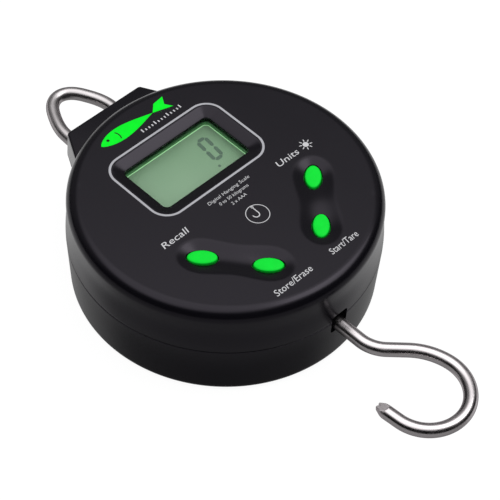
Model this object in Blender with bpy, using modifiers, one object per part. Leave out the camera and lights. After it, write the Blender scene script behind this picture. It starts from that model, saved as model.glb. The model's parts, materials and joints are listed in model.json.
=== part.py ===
"""Digital fish scale: round two-part case, load cell, hook, suspension loop, display, push buttons.

Frame: metres. The origin is the centre of the back face, +Z comes out of the display face, +Y points
to the suspension loop, -Y to the weighing hook and +X to the right of the display.
Sizes in the code are millimetres and are scaled by MM when a mesh or a location is written.
Cutters reach past the surfaces they cut, so that no two faces coincide.
"""
import math

import bmesh
import bpy
from mathutils import Matrix, Vector

MM = 0.001
GAP = 0.3                           # clearance between neighbouring pieces
SIDE = {-1: "left", 1: "right"}     # name of the side by the sign of x
END = {-1: "low", 1: "high"}        # name of the end by the sign of y

# ---------------------------------------------------------------- shared dimensions, mm
FACE_Z = 38.0                       # front face above the back face
WALL = 2.4
INNER_FACE_Z = FACE_Z - WALL
PARTING_Z = 20.5
PARTING_RADIUS = 50.6
FRONT_Z0 = PARTING_Z + 0.5 * GAP    # lower edge of the front half
REAR_Z1 = PARTING_Z - 0.5 * GAP     # upper edge of the rear half
CASE_STEPS = 48
CAVITY_MOUTH_RADIUS = 48.2          # both cavities at the parting plane

AXIS_Z = 17.5                       # plane of hook, load cell and loop
LOOP_WIRE_RADIUS = 2.25
LEG_X = 10.0                        # loop legs, either side of the centre

WINDOW_CENTRE_Y = 17.9
WINDOW_HALF = (18.25, 10.25)

BUTTONS = {                         # name: (x, y, long-axis angle in degrees)
    "recall_button": (-24.1, -14.4, -44.0),
    "store_button": (-11.4, -30.2, -44.0),
    "power_button": (11.4, -30.2, 44.0),
    "unit_button": (24.1, -14.4, 44.0),
}
BUTTON_HALF = (4.75, 2.7)           # half axes of the cap

POST_CIRCLE_RADIUS = 43.2
POSTS = [(POST_CIRCLE_RADIUS * math.cos(math.radians(angle)),
          POST_CIRCLE_RADIUS * math.sin(math.radians(angle)))
         for angle in (0, 62, 118, 180, 242, 298)]

BOARD_Z0, BOARD_Z1 = 26.2, 27.8
ABOVE_BOARD = BOARD_Z1 + GAP
BELOW_BOARD = BOARD_Z0 - GAP
BOARD_SCREWS = ((-35.0, 8.0), (35.0, 8.0), (0.0, -35.0))

CELL_HALF_X, CELL_HALF_Y, CELL_HALF_Z = 11.0, 20.0, 6.0
CELL_Z0, CELL_Z1 = AXIS_Z - CELL_HALF_Z, AXIS_Z + CELL_HALF_Z
YOKE_SCREW_X, YOKE_SCREW_Y = 4.9, 33.0
HOOK_PIVOT_Y = -36.0

BATTERIES = ((18.9, 1), (30.4, -1))  # x, sign of y at the nub: the two lie head to tail
BATTERY_Z, BATTERY_HALF = 8.0, 22.0
BAY_X0, BAY_X1, BAY_HALF_Y, BAY_Z1 = 12.9, 36.4, 24.9, 13.5
COVER_X = 0.5 * (BAY_X0 + BAY_X1)
COVER_SCREW_Y = 28.4
LEAD_Y = -23.6                      # where the battery leads leave the bay

# ---------------------------------------------------------------- scene set-up
for old in list(bpy.data.objects):
    bpy.data.objects.remove(old, do_unlink=True)

parts = bpy.data.collections.new("digital_fish_scale")
cutters = bpy.data.collections.new("cutters")
bpy.context.scene.collection.children.link(parts)
bpy.context.scene.collection.children.link(cutters)

scale_frame = bpy.data.objects.new("scale_frame", None)
parts.objects.link(scale_frame)
hook_pivot = bpy.data.objects.new("hook_pivot", None)
hook_pivot.location = (0.0, HOOK_PIVOT_Y * MM, AXIS_Z * MM)
parts.objects.link(hook_pivot)


# ---------------------------------------------------------------- materials
def material(name, *, colour, roughness, metallic=0.0):
    mat = bpy.data.materials.new(name)
    mat.use_nodes = True
    shader = mat.node_tree.nodes["Principled BSDF"]
    shader.inputs["Base Color"].default_value = (*colour, 1.0)
    shader.inputs["Roughness"].default_value = roughness
    shader.inputs["Metallic"].default_value = metallic
    return mat


CASE = material("case_plastic", colour=(0.030, 0.030, 0.036), roughness=0.42)
GREEN = material("button_green", colour=(0.01, 0.85, 0.07), roughness=0.45)
STEEL = material("stainless_wire", colour=(0.72, 0.71, 0.70), roughness=0.22, metallic=1.0)
ZINC = material("plated_steel", colour=(0.62, 0.63, 0.65), roughness=0.35, metallic=1.0)
ALUMINIUM = material("load_cell_aluminium", colour=(0.74, 0.75, 0.76), roughness=0.38,
                     metallic=1.0)
ACRYLIC = material("window_acrylic", colour=(0.80, 0.86, 0.82), roughness=0.06)
LCD = material("lcd_glass", colour=(0.36, 0.47, 0.37), roughness=0.18)
BACKLIGHT = material("backlight_acrylic", colour=(0.75, 0.90, 0.75), roughness=0.35)
BLACK = material("inner_black_plastic", colour=(0.02, 0.02, 0.02), roughness=0.5)
RUBBER = material("elastomer", colour=(0.12, 0.12, 0.13), roughness=0.7)
LAMINATE = material("board_laminate", colour=(0.02, 0.20, 0.07), roughness=0.4)
CHIP = material("chip_epoxy", colour=(0.02, 0.02, 0.022), roughness=0.55)
SLEEVE = material("battery_sleeve", colour=(0.10, 0.13, 0.30), roughness=0.35)
NICKEL = material("nickel_contact", colour=(0.70, 0.66, 0.60), roughness=0.3, metallic=1.0)
FOIL = material("gauge_foil", colour=(0.55, 0.36, 0.18), roughness=0.5)
RED_WIRE = material("red_insulation", colour=(0.55, 0.02, 0.02), roughness=0.45)
BLACK_WIRE = material("black_insulation", colour=(0.02, 0.02, 0.02), roughness=0.5)
JACKET = material("cable_jacket", colour=(0.35, 0.35, 0.36), roughness=0.55)


# ---------------------------------------------------------------- outlines
def arc(centre_x, centre_y, radius, start, end, steps):
    """Points along an arc between two angles in degrees."""
    angles = [math.radians(start + (end - start) * i / steps) for i in range(steps + 1)]
    return [(centre_x + radius * math.cos(angle), centre_y + radius * math.sin(angle))
            for angle in angles]


def rounded_rect(centre_y, half_x, half_y, corner, steps):
    """Rounded rectangle centred on x = 0."""
    points = []
    for sign_x, sign_y, angle in ((1, 1, 0), (-1, 1, 90), (-1, -1, 180), (1, -1, 270)):
        points += arc(sign_x * (half_x - corner), centre_y + sign_y * (half_y - corner), corner,
                      angle, angle + 90, steps)
    return points


def ellipse(centre_x, centre_y, half_long, half_short, angle, steps=20):
    cos, sin = math.cos(math.radians(angle)), math.sin(math.radians(angle))
    points = []
    for i in range(steps):
        turn = 2.0 * math.pi * i / steps
        along, across = half_long * math.cos(turn), half_short * math.sin(turn)
        points.append((centre_x + along * cos - across * sin, centre_y + along * sin + across * cos))
    return points


def bent_path(start, heading, pieces, max_turn=9.0):
    """Points along a line of (length, turn) pieces; angles in degrees."""
    x, y = start
    heading = math.radians(heading)
    points = [(x, y)]
    for length, turn in pieces:
        steps = max(1, math.ceil(abs(turn) / max_turn))
        half_turn = math.radians(turn) / steps / 2
        for _ in range(steps):
            heading += half_turn
            x += length / steps * math.cos(heading)
            y += length / steps * math.sin(heading)
            heading += half_turn
            points.append((x, y))
    return points


# ---------------------------------------------------------------- solids
def mesh_object(name, bm):
    mesh = bpy.data.meshes.new(name)
    bm.to_mesh(mesh)
    bm.free()
    return bpy.data.objects.new(name, mesh)


def evaluated_mesh(obj):
    bpy.context.view_layer.update()
    depsgraph = bpy.context.evaluated_depsgraph_get()
    return bpy.data.meshes.new_from_object(obj.evaluated_get(depsgraph))


def curve_to_mesh(curve_obj, name):
    """Turn a curve object with loose caps into one welded mesh object."""
    cutters.objects.link(curve_obj)
    mesh = evaluated_mesh(curve_obj)
    bm = bmesh.new()
    bm.from_mesh(mesh)
    bmesh.ops.remove_doubles(bm, verts=bm.verts, dist=0.000002)
    bmesh.ops.recalc_face_normals(bm, faces=bm.faces)
    bm.to_mesh(mesh)
    bm.free()
    obj = bpy.data.objects.new(name, mesh)
    obj.location = curve_obj.location
    curve = curve_obj.data
    bpy.data.objects.remove(curve_obj, do_unlink=True)
    bpy.data.curves.remove(curve)
    return obj


def box(name, low, high):
    """Box from its lowest and highest corners; the origin is its centre."""
    bm = bmesh.new()
    bmesh.ops.create_cube(bm, size=1.0)
    bmesh.ops.scale(bm, vec=[(h - l) * MM for l, h in zip(low, high)], verts=bm.verts)
    obj = mesh_object(name, bm)
    obj.location = [0.5 * (h + l) * MM for l, h in zip(low, high)]
    return obj


def rod(name, radius, start, end, segments):
    """Round bar from start to end; the origin is its middle."""
    start, end = Vector(start), Vector(end)
    bm = bmesh.new()
    bmesh.ops.create_cone(bm, cap_ends=True, segments=segments, radius1=radius * MM,
                          radius2=radius * MM, depth=(end - start).length * MM)
    obj = mesh_object(name, bm)
    obj.rotation_mode = "QUATERNION"
    obj.rotation_quaternion = (end - start).to_track_quat("Z", "Y")
    obj.location = (start + end) * 0.5 * MM
    return obj


def rod_z(name, radius, place, z_start, z_end, segments):
    """Rod along Z at an (x, y) place."""
    return rod(name, radius, (*place, z_start), (*place, z_end), segments)


def rod_y(name, radius, x, y_start, y_end, segments, z=AXIS_Z):
    return rod(name, radius, (x, y_start, z), (x, y_end, z), segments)


def ellipsoid(name, radii, centre, angle, around, rings):
    bm = bmesh.new()
    bmesh.ops.create_uvsphere(bm, u_segments=around, v_segments=rings, radius=MM)
    bmesh.ops.scale(bm, vec=radii, verts=bm.verts)
    obj = mesh_object(name, bm)
    obj.location = [c * MM for c in centre]
    obj.rotation_euler = (0, 0, math.radians(angle))
    return obj


def plate(name, outline, z0, z1):
    """Flat plate between z0 and z1 from a closed (x, y) outline."""
    curve = bpy.data.curves.new(name + "_outline", "CURVE")
    curve.dimensions = "2D"
    curve.fill_mode = "BOTH"
    curve.extrude = 0.5 * (z1 - z0) * MM
    spline = curve.splines.new("POLY")
    spline.points.add(len(outline) - 1)
    for point, (x, y) in zip(spline.points, outline):
        point.co = (x * MM, y * MM, 0.0, 1.0)
    spline.use_cyclic_u = True
    obj = bpy.data.objects.new(name + "_curve", curve)
    obj.location = (0.0, 0.0, 0.5 * (z0 + z1) * MM)
    return curve_to_mesh(obj, name)


def plate_along_y(name, outline, centre_y, half_length):
    """Prism along Y from a closed (x, z) outline."""
    obj = plate(name, outline, -half_length, half_length)
    obj.rotation_euler = (math.radians(90), 0, 0)
    obj.location = (0.0, centre_y * MM, 0.0)
    return obj


def wire(name, points, radius, resolution, taper=None):
    """Round wire along a polyline; taper holds a share of the radius for each point."""
    curve = bpy.data.curves.new(name + "_line", "CURVE")
    curve.dimensions = "3D"
    curve.bevel_depth = radius * MM
    curve.bevel_resolution = resolution
    curve.use_fill_caps = True
    spline = curve.splines.new("POLY")
    spline.points.add(len(points) - 1)
    for i, (point, (x, y, z)) in enumerate(zip(spline.points, points)):
        point.co = (x * MM, y * MM, z * MM, 1.0)
        point.radius = taper[i] if taper else 1.0
    return curve_to_mesh(bpy.data.objects.new(name + "_curve", curve), name)


def turned(name, profile, steps=CASE_STEPS):
    """Solid of revolution about Z from (r, z) points; one that starts off the axis is a ring."""
    bm = bmesh.new()
    verts = [bm.verts.new((r * MM, 0.0, z * MM)) for r, z in profile]
    for first, second in zip(verts, verts[1:]):
        bm.edges.new((first, second))
    if profile[0][0] > 0.001:
        bm.edges.new((verts[-1], verts[0]))
    obj = mesh_object(name, bm)
    screw_mod = obj.modifiers.new("turn", "SCREW")
    screw_mod.angle = 2.0 * math.pi
    screw_mod.steps = screw_mod.render_steps = steps
    screw_mod.use_merge_vertices = True
    screw_mod.merge_threshold = 0.000002
    return obj


def loft(name, low, high, z_low, z_high):
    """Closed solid between two outlines with the same number of points."""
    bm = bmesh.new()
    lower = [bm.verts.new((x * MM, y * MM, z_low * MM)) for x, y in low]
    upper = [bm.verts.new((x * MM, y * MM, z_high * MM)) for x, y in high]
    count = len(lower)
    for i in range(count):
        j = (i + 1) % count
        bm.faces.new((lower[i], lower[j], upper[j], upper[i]))
    bm.faces.new(list(reversed(lower)))
    bm.faces.new(upper)
    bmesh.ops.recalc_face_normals(bm, faces=bm.faces)
    return mesh_object(name, bm)


# ---------------------------------------------------------------- joining and finishing
def boolean(obj, tool, operation):
    cutters.objects.link(tool)
    tool.hide_render = True
    tool.display_type = "WIRE"
    mod = obj.modifiers.new(operation.lower() + "_" + tool.name, "BOOLEAN")
    mod.operation = operation
    mod.solver = "EXACT"
    mod.object = tool


def union(obj, *tools):
    for tool in tools:
        boolean(obj, tool, "UNION")


def cut(obj, *tools):
    for tool in tools:
        boolean(obj, tool, "DIFFERENCE")


def settle(obj):
    """Replace a linked object's mesh by its evaluated one and drop its modifiers."""
    mesh = evaluated_mesh(obj)
    obj.modifiers.clear()
    obj.data = mesh


def finish(obj, mat, sharp_angle=35.0, parent=scale_frame):
    """Link a piece, apply its modifiers, weld slivers, shade it and give it material and parent."""
    if obj.name not in parts.objects:
        parts.objects.link(obj)
    if obj.modifiers:
        settle(obj)
    bm = bmesh.new()
    bm.from_mesh(obj.data)
    bmesh.ops.remove_doubles(bm, verts=bm.verts, dist=0.000003)
    bmesh.ops.dissolve_degenerate(bm, edges=bm.edges, dist=0.000002)
    bm.to_mesh(obj.data)
    bm.free()
    obj.data.materials.clear()
    obj.data.materials.append(mat)
    if sharp_angle:
        obj.data.shade_smooth()
        obj.data.set_sharp_from_angle(angle=math.radians(sharp_angle))
    bpy.context.view_layer.update()
    world = obj.matrix_world.copy()
    obj.parent = parent
    obj.matrix_parent_inverse = parent.matrix_world.inverted()
    obj.matrix_world = world
    return obj


def set_origin(obj, point):
    """Move an object's origin to a point, leaving its mesh in place in the world."""
    bpy.context.view_layer.update()
    target = Vector([c * MM for c in point])
    obj.data.transform(Matrix.Translation(-target) @ obj.matrix_world)
    obj.matrix_world = Matrix.Translation(target)


def block(name, low, high, mat):
    """Finished flat-shaded box."""
    finish(box(name, low, high), mat, sharp_angle=None)


def screw(name, place, z_head, head_radius, head_height, shank_radius, z_end):
    """Flat-headed screw along Z from its head to z_end, with a cross recess."""
    step = math.copysign(1.0, z_end - z_head)
    z_seat = z_head + step * head_height
    piece = rod_z(name, head_radius, place, z_head, z_seat, 16)
    union(piece, rod_z(name + "_shank", shank_radius, place, z_seat - step * 0.5, z_end, 10))
    slot_half = (0.62 * head_radius, 0.16 * head_radius, 0.5 * head_height)
    for k, angle in enumerate((20, 110)):
        slot = box(f"{name}_recess_{k}", [-half for half in slot_half], slot_half)
        slot.location = (place[0] * MM, place[1] * MM, z_head * MM)
        slot.rotation_euler = (0, 0, math.radians(angle))
        cut(piece, slot)
    return finish(piece, ZINC)


def bolt(name, y_head, head_length, y_end):
    """Socket-head bolt along Y through the weighing train's axis."""
    step = math.copysign(1.0, y_end - y_head)
    piece = rod_y(name, 4.0, 0.0, y_head, y_head + step * head_length, 18)
    union(piece, rod_y(name + "_shank", 2.2, 0.0, y_head + step * (head_length - 0.5), y_end, 14))
    cut(piece, rod_y(name + "_socket", 2.0, 0.0, y_head - step * 1.0,
                     y_head + step * 0.6 * head_length, 6))
    finish(piece, ZINC)


# ---------------------------------------------------------------- case halves
FACE_RADIUS = 50.0                  # at the lower edge of the rim's rounding
RIM_FILLET = 4.0
BACK_RADIUS = 49.85
BACK_FILLET = 3.0

LUG_Z0, LUG_Z1 = 5.0, 30.0
LUG_END_Y = 57.3
LUG_END_HALF = 15.4
LUG_FLARE = 0.545                   # half-width gained per mm towards the case

SLOT_HALF_X, SLOT_Z0, SLOT_Z1 = 3.3, 14.8, 22.8
CHANNEL_RADIUS = LOOP_WIRE_RADIUS + 0.4

RECESS_CENTRE_Y = 17.77
RECESS_HALF = (22.0, 13.9)          # at the front face
RECESS_DEPTH = 1.6
RECESS_OVERSHOOT = 0.6              # the recess cutter's height above the front face

BUTTON_DISH = dict(radii=(8.6, 7.6, 3.4), height=1.8)       # height of the centre above the face
BETWEEN_DISH = dict(radii=(8.0, 5.6, 2.6), height=1.7)
BETWEEN_X, BETWEEN_Y, BETWEEN_ANGLE = 17.75, -22.3, 51.2

FRONT_BOSS_RADIUS, FRONT_HOLE_RADIUS = 3.2, 1.45
BOARD_BOSS_RADIUS, BOARD_HOLE_RADIUS = 2.6, 1.2
REAR_POST_RADIUS, REAR_HOLE_RADIUS, HEAD_RECESS_RADIUS = 3.9, 1.6, 2.9

BAY_WALL = 1.4
COVER_BOSS_RADIUS, YOKE_BOSS_RADIUS, BOSS_HOLE_RADIUS = 3.3, 2.9, 1.2
LEAD_HOLE_RADIUS = 1.0
COVER_MARGIN = 0.7                  # cover beyond the bay
COVER_CORNER, COVER_EAR_RADIUS = 2.0, 4.3


def lug_outline(y_inner):
    """Trapezoid standing out of the case towards +Y, wider at the case."""
    half_inner = LUG_END_HALF + LUG_FLARE * (LUG_END_Y - y_inner)
    return [(-half_inner, y_inner), (half_inner, y_inner),
            (LUG_END_HALF, LUG_END_Y), (-LUG_END_HALF, LUG_END_Y)]


def cover_outline(grow):
    """Battery cover: a rounded rectangle with a round ear at each end for its screw."""
    half_x = 0.5 * (BAY_X1 - BAY_X0) + COVER_MARGIN + grow
    half_y = BAY_HALF_Y + COVER_MARGIN + grow
    ear = COVER_EAR_RADIUS + grow
    corner = COVER_CORNER + grow
    neck_y = half_y - 0.25          # the ear starts just inside the straight edge
    neck_x = math.sqrt(ear * ear - (COVER_SCREW_Y - neck_y) ** 2)
    start = math.degrees(math.atan2(neck_y - COVER_SCREW_Y, neck_x))
    ear_points = arc(0.0, COVER_SCREW_Y, ear, start, 180.0 - start, 12)
    x_in, y_in = half_x - corner, half_y - corner
    points = arc(x_in, y_in, corner, 0, 90, 4)
    points += ear_points
    points += arc(-x_in, y_in, corner, 90, 180, 4)
    points += arc(-x_in, -y_in, corner, 180, 270, 4)
    points += [(-x, -y) for x, y in ear_points]
    points += arc(x_in, -y_in, corner, 270, 360, 4)
    return [(COVER_X + x, y) for x, y in points]


def cut_hook_slot(half, label):
    """Opening in the -Y wall for the hook."""
    outline = rounded_rect(0.5 * (SLOT_Z0 + SLOT_Z1), SLOT_HALF_X, 0.5 * (SLOT_Z1 - SLOT_Z0), 1.2, 3)
    cut(half, plate_along_y("hook_slot_" + label, outline, -49.0, 5.0))


def cut_leg_channels(half, label, z_top):
    """Channels for the loop legs: round below, straight-sided up to z_top."""
    for sign in SIDE:
        x = sign * LEG_X
        outline = arc(x, AXIS_Z, CHANNEL_RADIUS, 180, 360, 10)
        outline += [(x + CHANNEL_RADIUS, z_top), (x - CHANNEL_RADIUS, z_top)]
        cut(half, plate_along_y(f"leg_channel_{label}_{SIDE[sign]}", outline, 49.5, 10.0))


def cut_display_recess(front):
    """Tapered recess down to the window's outline, then the window opening."""
    window_outline = rounded_rect(WINDOW_CENTRE_Y, *WINDOW_HALF, 1.9, 6)
    over_half = [wide + (wide - narrow) / RECESS_DEPTH * RECESS_OVERSHOOT
                 for wide, narrow in zip(RECESS_HALF, WINDOW_HALF)]
    over_outline = rounded_rect(RECESS_CENTRE_Y, *over_half, 5.6, 6)
    cut(front, loft("display_recess", window_outline, over_outline, FACE_Z - RECESS_DEPTH,
                    FACE_Z + RECESS_OVERSHOOT),
        plate("window_opening", window_outline, INNER_FACE_Z - 1.0, FACE_Z - RECESS_DEPTH + 0.4))


def cut_button_places(front):
    """A dish round each button, a shallow one between each pair, then the cap holes."""
    for name, (x, y, angle) in BUTTONS.items():
        cut(front, ellipsoid("dish_" + name, BUTTON_DISH["radii"],
                             (x, y, FACE_Z + BUTTON_DISH["height"]), angle, 20, 10))
    for sign in SIDE:
        centre = (sign * BETWEEN_X, BETWEEN_Y, FACE_Z + BETWEEN_DISH["height"])
        cut(front, ellipsoid("dish_between_" + SIDE[sign], BETWEEN_DISH["radii"], centre,
                             sign * BETWEEN_ANGLE, 16, 8))
    for name, (x, y, angle) in BUTTONS.items():
        half_long, half_short = (half + 0.35 for half in BUTTON_HALF)
        cut(front, plate("hole_" + name, ellipse(x, y, half_long, half_short, angle),
                         FACE_Z - 6.0, FACE_Z + 2.0))


def build_front_case():
    """Turned puck joined with the lug's front part, then hollowed out."""
    rim = arc(FACE_RADIUS - RIM_FILLET, FACE_Z - RIM_FILLET, RIM_FILLET, 90, 0, 5)
    front = turned("front_case", [(0.0, FACE_Z), (40.0, FACE_Z)] + rim
                   + [(PARTING_RADIUS, FRONT_Z0), (0.0, FRONT_Z0)])
    union(front, plate("lug_front", lug_outline(44.0), FRONT_Z0, LUG_Z1))
    cut(front, turned("cavity_front", [
        (0.0, INNER_FACE_Z), (46.6, INNER_FACE_Z), (47.5, INNER_FACE_Z - 1.2),
        (CAVITY_MOUTH_RADIUS, PARTING_Z - 1.0), (0.0, PARTING_Z - 1.0)]))
    cut_display_recess(front)
    cut_button_places(front)
    for i, post in enumerate(POSTS, 1):
        union(front, rod_z(f"front_boss_{i}", FRONT_BOSS_RADIUS, post, FRONT_Z0,
                           INNER_FACE_Z + 0.8, 14))
    for i, place in enumerate(BOARD_SCREWS, 1):
        union(front, rod_z(f"board_boss_{i}", BOARD_BOSS_RADIUS, place, ABOVE_BOARD,
                           INNER_FACE_Z + 0.6, 12))
    for i, post in enumerate(POSTS, 1):
        cut(front, rod_z(f"front_hole_{i}", FRONT_HOLE_RADIUS, post, 19.0, 32.0, 10))
    for i, place in enumerate(BOARD_SCREWS, 1):
        cut(front, rod_z(f"board_hole_{i}", BOARD_HOLE_RADIUS, place, 26.0, 34.0, 8))
    cut_hook_slot(front, "front")
    cut_leg_channels(front, "front", z_top=20.9)
    finish(front, CASE)


def build_rear_case():
    """Tapered bowl with the lug's rear part, screw posts and the battery compartment."""
    fillet = [(BACK_RADIUS - BACK_FILLET + BACK_FILLET * math.cos(math.radians(angle)),
               BACK_FILLET - BACK_FILLET * math.sin(math.radians(angle)))
              for angle in (5, 35, 65, 90)]
    rear = turned("rear_case", [(0.0, REAR_Z1), (PARTING_RADIUS, REAR_Z1)] + fillet + [(0.0, 0.0)])
    union(rear, plate("lug_rear", lug_outline(43.0), LUG_Z0, REAR_Z1))
    cut(rear, turned("cavity_rear", [
        (0.0, PARTING_Z + 1.0), (CAVITY_MOUTH_RADIUS, PARTING_Z + 1.0), (46.2, WALL + 1.0),
        (45.2, WALL), (0.0, WALL)]))
    for i, post in enumerate(POSTS, 1):
        union(rear, rod_z(f"rear_post_{i}", REAR_POST_RADIUS, post, 1.0, REAR_Z1, 16))
    bay_reach = BAY_HALF_Y + BAY_WALL
    union(rear, box("battery_box", (BAY_X0 - BAY_WALL, -bay_reach, 1.0),
                    (BAY_X1 + BAY_WALL, bay_reach, BAY_Z1 + BAY_WALL)))
    for sign in SIDE:
        union(rear, rod_z("cover_boss_" + END[sign], COVER_BOSS_RADIUS,
                          (COVER_X, sign * COVER_SCREW_Y), 1.0, 9.5, 14),
              rod_z("yoke_boss_" + SIDE[sign], YOKE_BOSS_RADIUS,
                    (sign * YOKE_SCREW_X, YOKE_SCREW_Y), 1.0, CELL_Z0 - GAP, 14))
    cut(rear, box("battery_bay", (BAY_X0, -BAY_HALF_Y, -1.0), (BAY_X1, BAY_HALF_Y, BAY_Z1)),
        plate("cover_rebate", cover_outline(GAP), -1.0, 2.1))
    for sign in SIDE:
        cut(rear, rod_z("cover_hole_" + END[sign], BOSS_HOLE_RADIUS,
                        (COVER_X, sign * COVER_SCREW_Y), -1.0, 8.0, 12),
            rod_z("yoke_hole_" + SIDE[sign], BOSS_HOLE_RADIUS,
                  (sign * YOKE_SCREW_X, YOKE_SCREW_Y), 4.0, 16.0, 12))
    for i, post in enumerate(POSTS, 1):
        cut(rear, rod_z(f"head_recess_{i}", HEAD_RECESS_RADIUS, post, -1.0, 6.0, 16),
            rod_z(f"rear_hole_{i}", REAR_HOLE_RADIUS, post, 5.0, 22.0, 10))
    for i, (x, _) in enumerate(BATTERIES, 1):
        cut(rear, rod_z(f"lead_hole_{i}", LEAD_HOLE_RADIUS, (x, LEAD_Y), BAY_Z1 - 1.0,
                        BAY_Z1 + 3.0, 10))
    cut_hook_slot(rear, "rear")
    cut_leg_channels(rear, "rear", z_top=21.5)
    finish(rear, CASE)


# ---------------------------------------------------------------- battery cover, case screws
COVER_THICKNESS = 1.8
COVER_CLEARANCE_RADIUS, COVER_SINK_RADIUS = 1.7, 2.9
GROOVE_COUNT, GROOVE_PITCH, GROOVE_HALF_WIDTH, GROOVE_HALF_LENGTH = 7, 2.0, 0.4, 6.0
GROOVE_DEPTH = 0.45


def build_battery_cover():
    cover = plate("battery_cover", cover_outline(0.0), 0.0, COVER_THICKNESS)
    for sign in END:
        place = (COVER_X, sign * COVER_SCREW_Y)
        cut(cover, rod_z("cover_clear_" + END[sign], COVER_CLEARANCE_RADIUS, place, -1.0, 3.0, 14),
            rod_z("cover_sink_" + END[sign], COVER_SINK_RADIUS, place, -1.0, 0.9, 18))
    for i in range(GROOVE_COUNT):   # shallow grooves across the cover
        y = GROOVE_PITCH * (i - (GROOVE_COUNT - 1) / 2)
        cut(cover, box(f"cover_groove_{i}",
                       (COVER_X - GROOVE_HALF_LENGTH, y - GROOVE_HALF_WIDTH, -0.5),
                       (COVER_X + GROOVE_HALF_LENGTH, y + GROOVE_HALF_WIDTH, GROOVE_DEPTH)))
    finish(cover, CASE)
    set_origin(cover, (COVER_X, 0.0, 0.0))


def build_case_screws():
    for i, sign in enumerate(END, 1):
        place = (COVER_X, sign * COVER_SCREW_Y)
        piece = screw(f"battery_cover_screw_{i}", place, z_head=0.05, head_radius=2.55,
                      head_height=0.55, shank_radius=0.95, z_end=7.0)
        set_origin(piece, (*place, 0.0))
    for i, post in enumerate(POSTS, 1):
        screw(f"case_screw_{i}", post, z_head=3.9, head_radius=2.6, head_height=1.8,
              shank_radius=1.15, z_end=30.5)


# ---------------------------------------------------------------- batteries and contacts
BATTERY_RADIUS, NUB_RADIUS, NUB_LENGTH = 5.1, 1.9, 0.9
CONTACT_Z0, CONTACT_Z1 = 4.2, 12.2
CONTACT_INNER_Y, CONTACT_OUTER_Y = BAY_HALF_Y - 1.0, BAY_HALF_Y - 0.5
SPRING_RADII = (3.4, 2.2)           # at the plate, at the battery
SPRING_WIRE_RADIUS = 0.22
SPRING_TURNS, SPRING_STEPS_PER_TURN = 2, 12


def build_battery(index, x, nub_sign):
    battery = rod_y(f"battery_{index}", BATTERY_RADIUS, x, -nub_sign * BATTERY_HALF,
                    nub_sign * BATTERY_HALF, 24, z=BATTERY_Z)
    union(battery, rod_y(f"battery_nub_{index}", NUB_RADIUS, x, nub_sign * (BATTERY_HALF - 1.0),
                         nub_sign * (BATTERY_HALF + NUB_LENGTH), 16, z=BATTERY_Z))
    finish(battery, SLEEVE)


def build_contact_plates():
    (first_x, _), (second_x, _) = BATTERIES
    block("battery_bridge_plate", (first_x - 4.2, CONTACT_INNER_Y, CONTACT_Z0),
          (second_x + 4.2, CONTACT_OUTER_Y, CONTACT_Z1), NICKEL)
    for name, x in (("negative", first_x), ("positive", second_x)):
        block("battery_plate_" + name, (x - 4.0, -CONTACT_OUTER_Y, CONTACT_Z0),
              (x + 4.0, -CONTACT_INNER_Y, CONTACT_Z1), NICKEL)


def build_battery_spring(index, x, nub_sign):
    """Conical coil at the end away from the nub."""
    y0 = -nub_sign * (BAY_HALF_Y - 1.55)
    y1 = -nub_sign * (BATTERY_HALF + 0.55)
    wide, narrow = SPRING_RADII
    steps = SPRING_TURNS * SPRING_STEPS_PER_TURN
    points = []
    for i in range(steps + 1):
        radius = wide + (narrow - wide) * i / steps
        angle = 2 * math.pi * i / SPRING_STEPS_PER_TURN
        points.append((x + radius * math.cos(angle), y0 + (y1 - y0) * i / steps,
                       BATTERY_Z + radius * math.sin(angle)))
    finish(wire(f"battery_spring_{index}", points, SPRING_WIRE_RADIUS, 1), NICKEL)


# ---------------------------------------------------------------- weighing train
CELL_EYE_X, CELL_EYE_RADIUS = 3.4, 3.7
CELL_BOLT_RADIUS = 2.5
GAUGE_THICKNESS = 0.35

TRAIN_Y0 = CELL_HALF_Y + GAP        # inner ends of yoke and clevis, from the cell's centre
NECK_HALF_X = 7.5                   # yoke neck and clevis
YOKE_HALF_X, YOKE_HALF_Z, YOKE_Y1 = 15.0, 5.5, 43.0
BOLT_HOLE_RADIUS, BOLT_SINK_RADIUS = 2.6, 4.4
LEG_END_Y = 30.0
LOOP_PIN_Y, LOOP_PIN_RADIUS = 35.5, 1.0
LOOP_PIN_BORE_RADIUS = LOOP_PIN_RADIUS + GAP
YOKE_SCREW_BORE_RADIUS = 1.6

CLEVIS_END_Y, CLEVIS_HALF_Z = -41.3, 5.7
CLEVIS_SLOT_Y, CLEVIS_SLOT_HALF_Z = -30.6, 2.6
HOOK_PIN_RADIUS = 2.0
HOOK_PIN_BORE_RADIUS = HOOK_PIN_RADIUS + GAP
PIVOT = (0.0, HOOK_PIVOT_Y)


def build_load_cell():
    cell = box("load_cell", (-CELL_HALF_X, -CELL_HALF_Y, CELL_Z0),
               (CELL_HALF_X, CELL_HALF_Y, CELL_Z1))
    cut(cell, box("cell_slot_high", (-6.0, 9.2, 0.0), (20.0, 10.8, 40.0)),
        box("cell_slot_low", (-20.0, -10.8, 0.0), (6.0, -9.2, 40.0)))
    for sign in SIDE:
        cut(cell, rod_z("cell_eye_" + SIDE[sign], CELL_EYE_RADIUS, (sign * CELL_EYE_X, 0.0),
                        0.0, 40.0, 24))
    for sign in (1, -1):
        cut(cell, rod_y("cell_bolt_" + END[sign], CELL_BOLT_RADIUS, 0.0, sign * 12.2,
                        sign * 26.0, 16))
    finish(cell, ALUMINIUM)


def build_strain_gauges():
    for name, z0 in (("front", CELL_Z1 + GAP), ("back", CELL_Z0 - GAP - GAUGE_THICKNESS)):
        block("strain_gauge_" + name, (-3.0, 4.6, z0), (3.0, 8.6, z0 + GAUGE_THICKNESS), FOIL)


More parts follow.
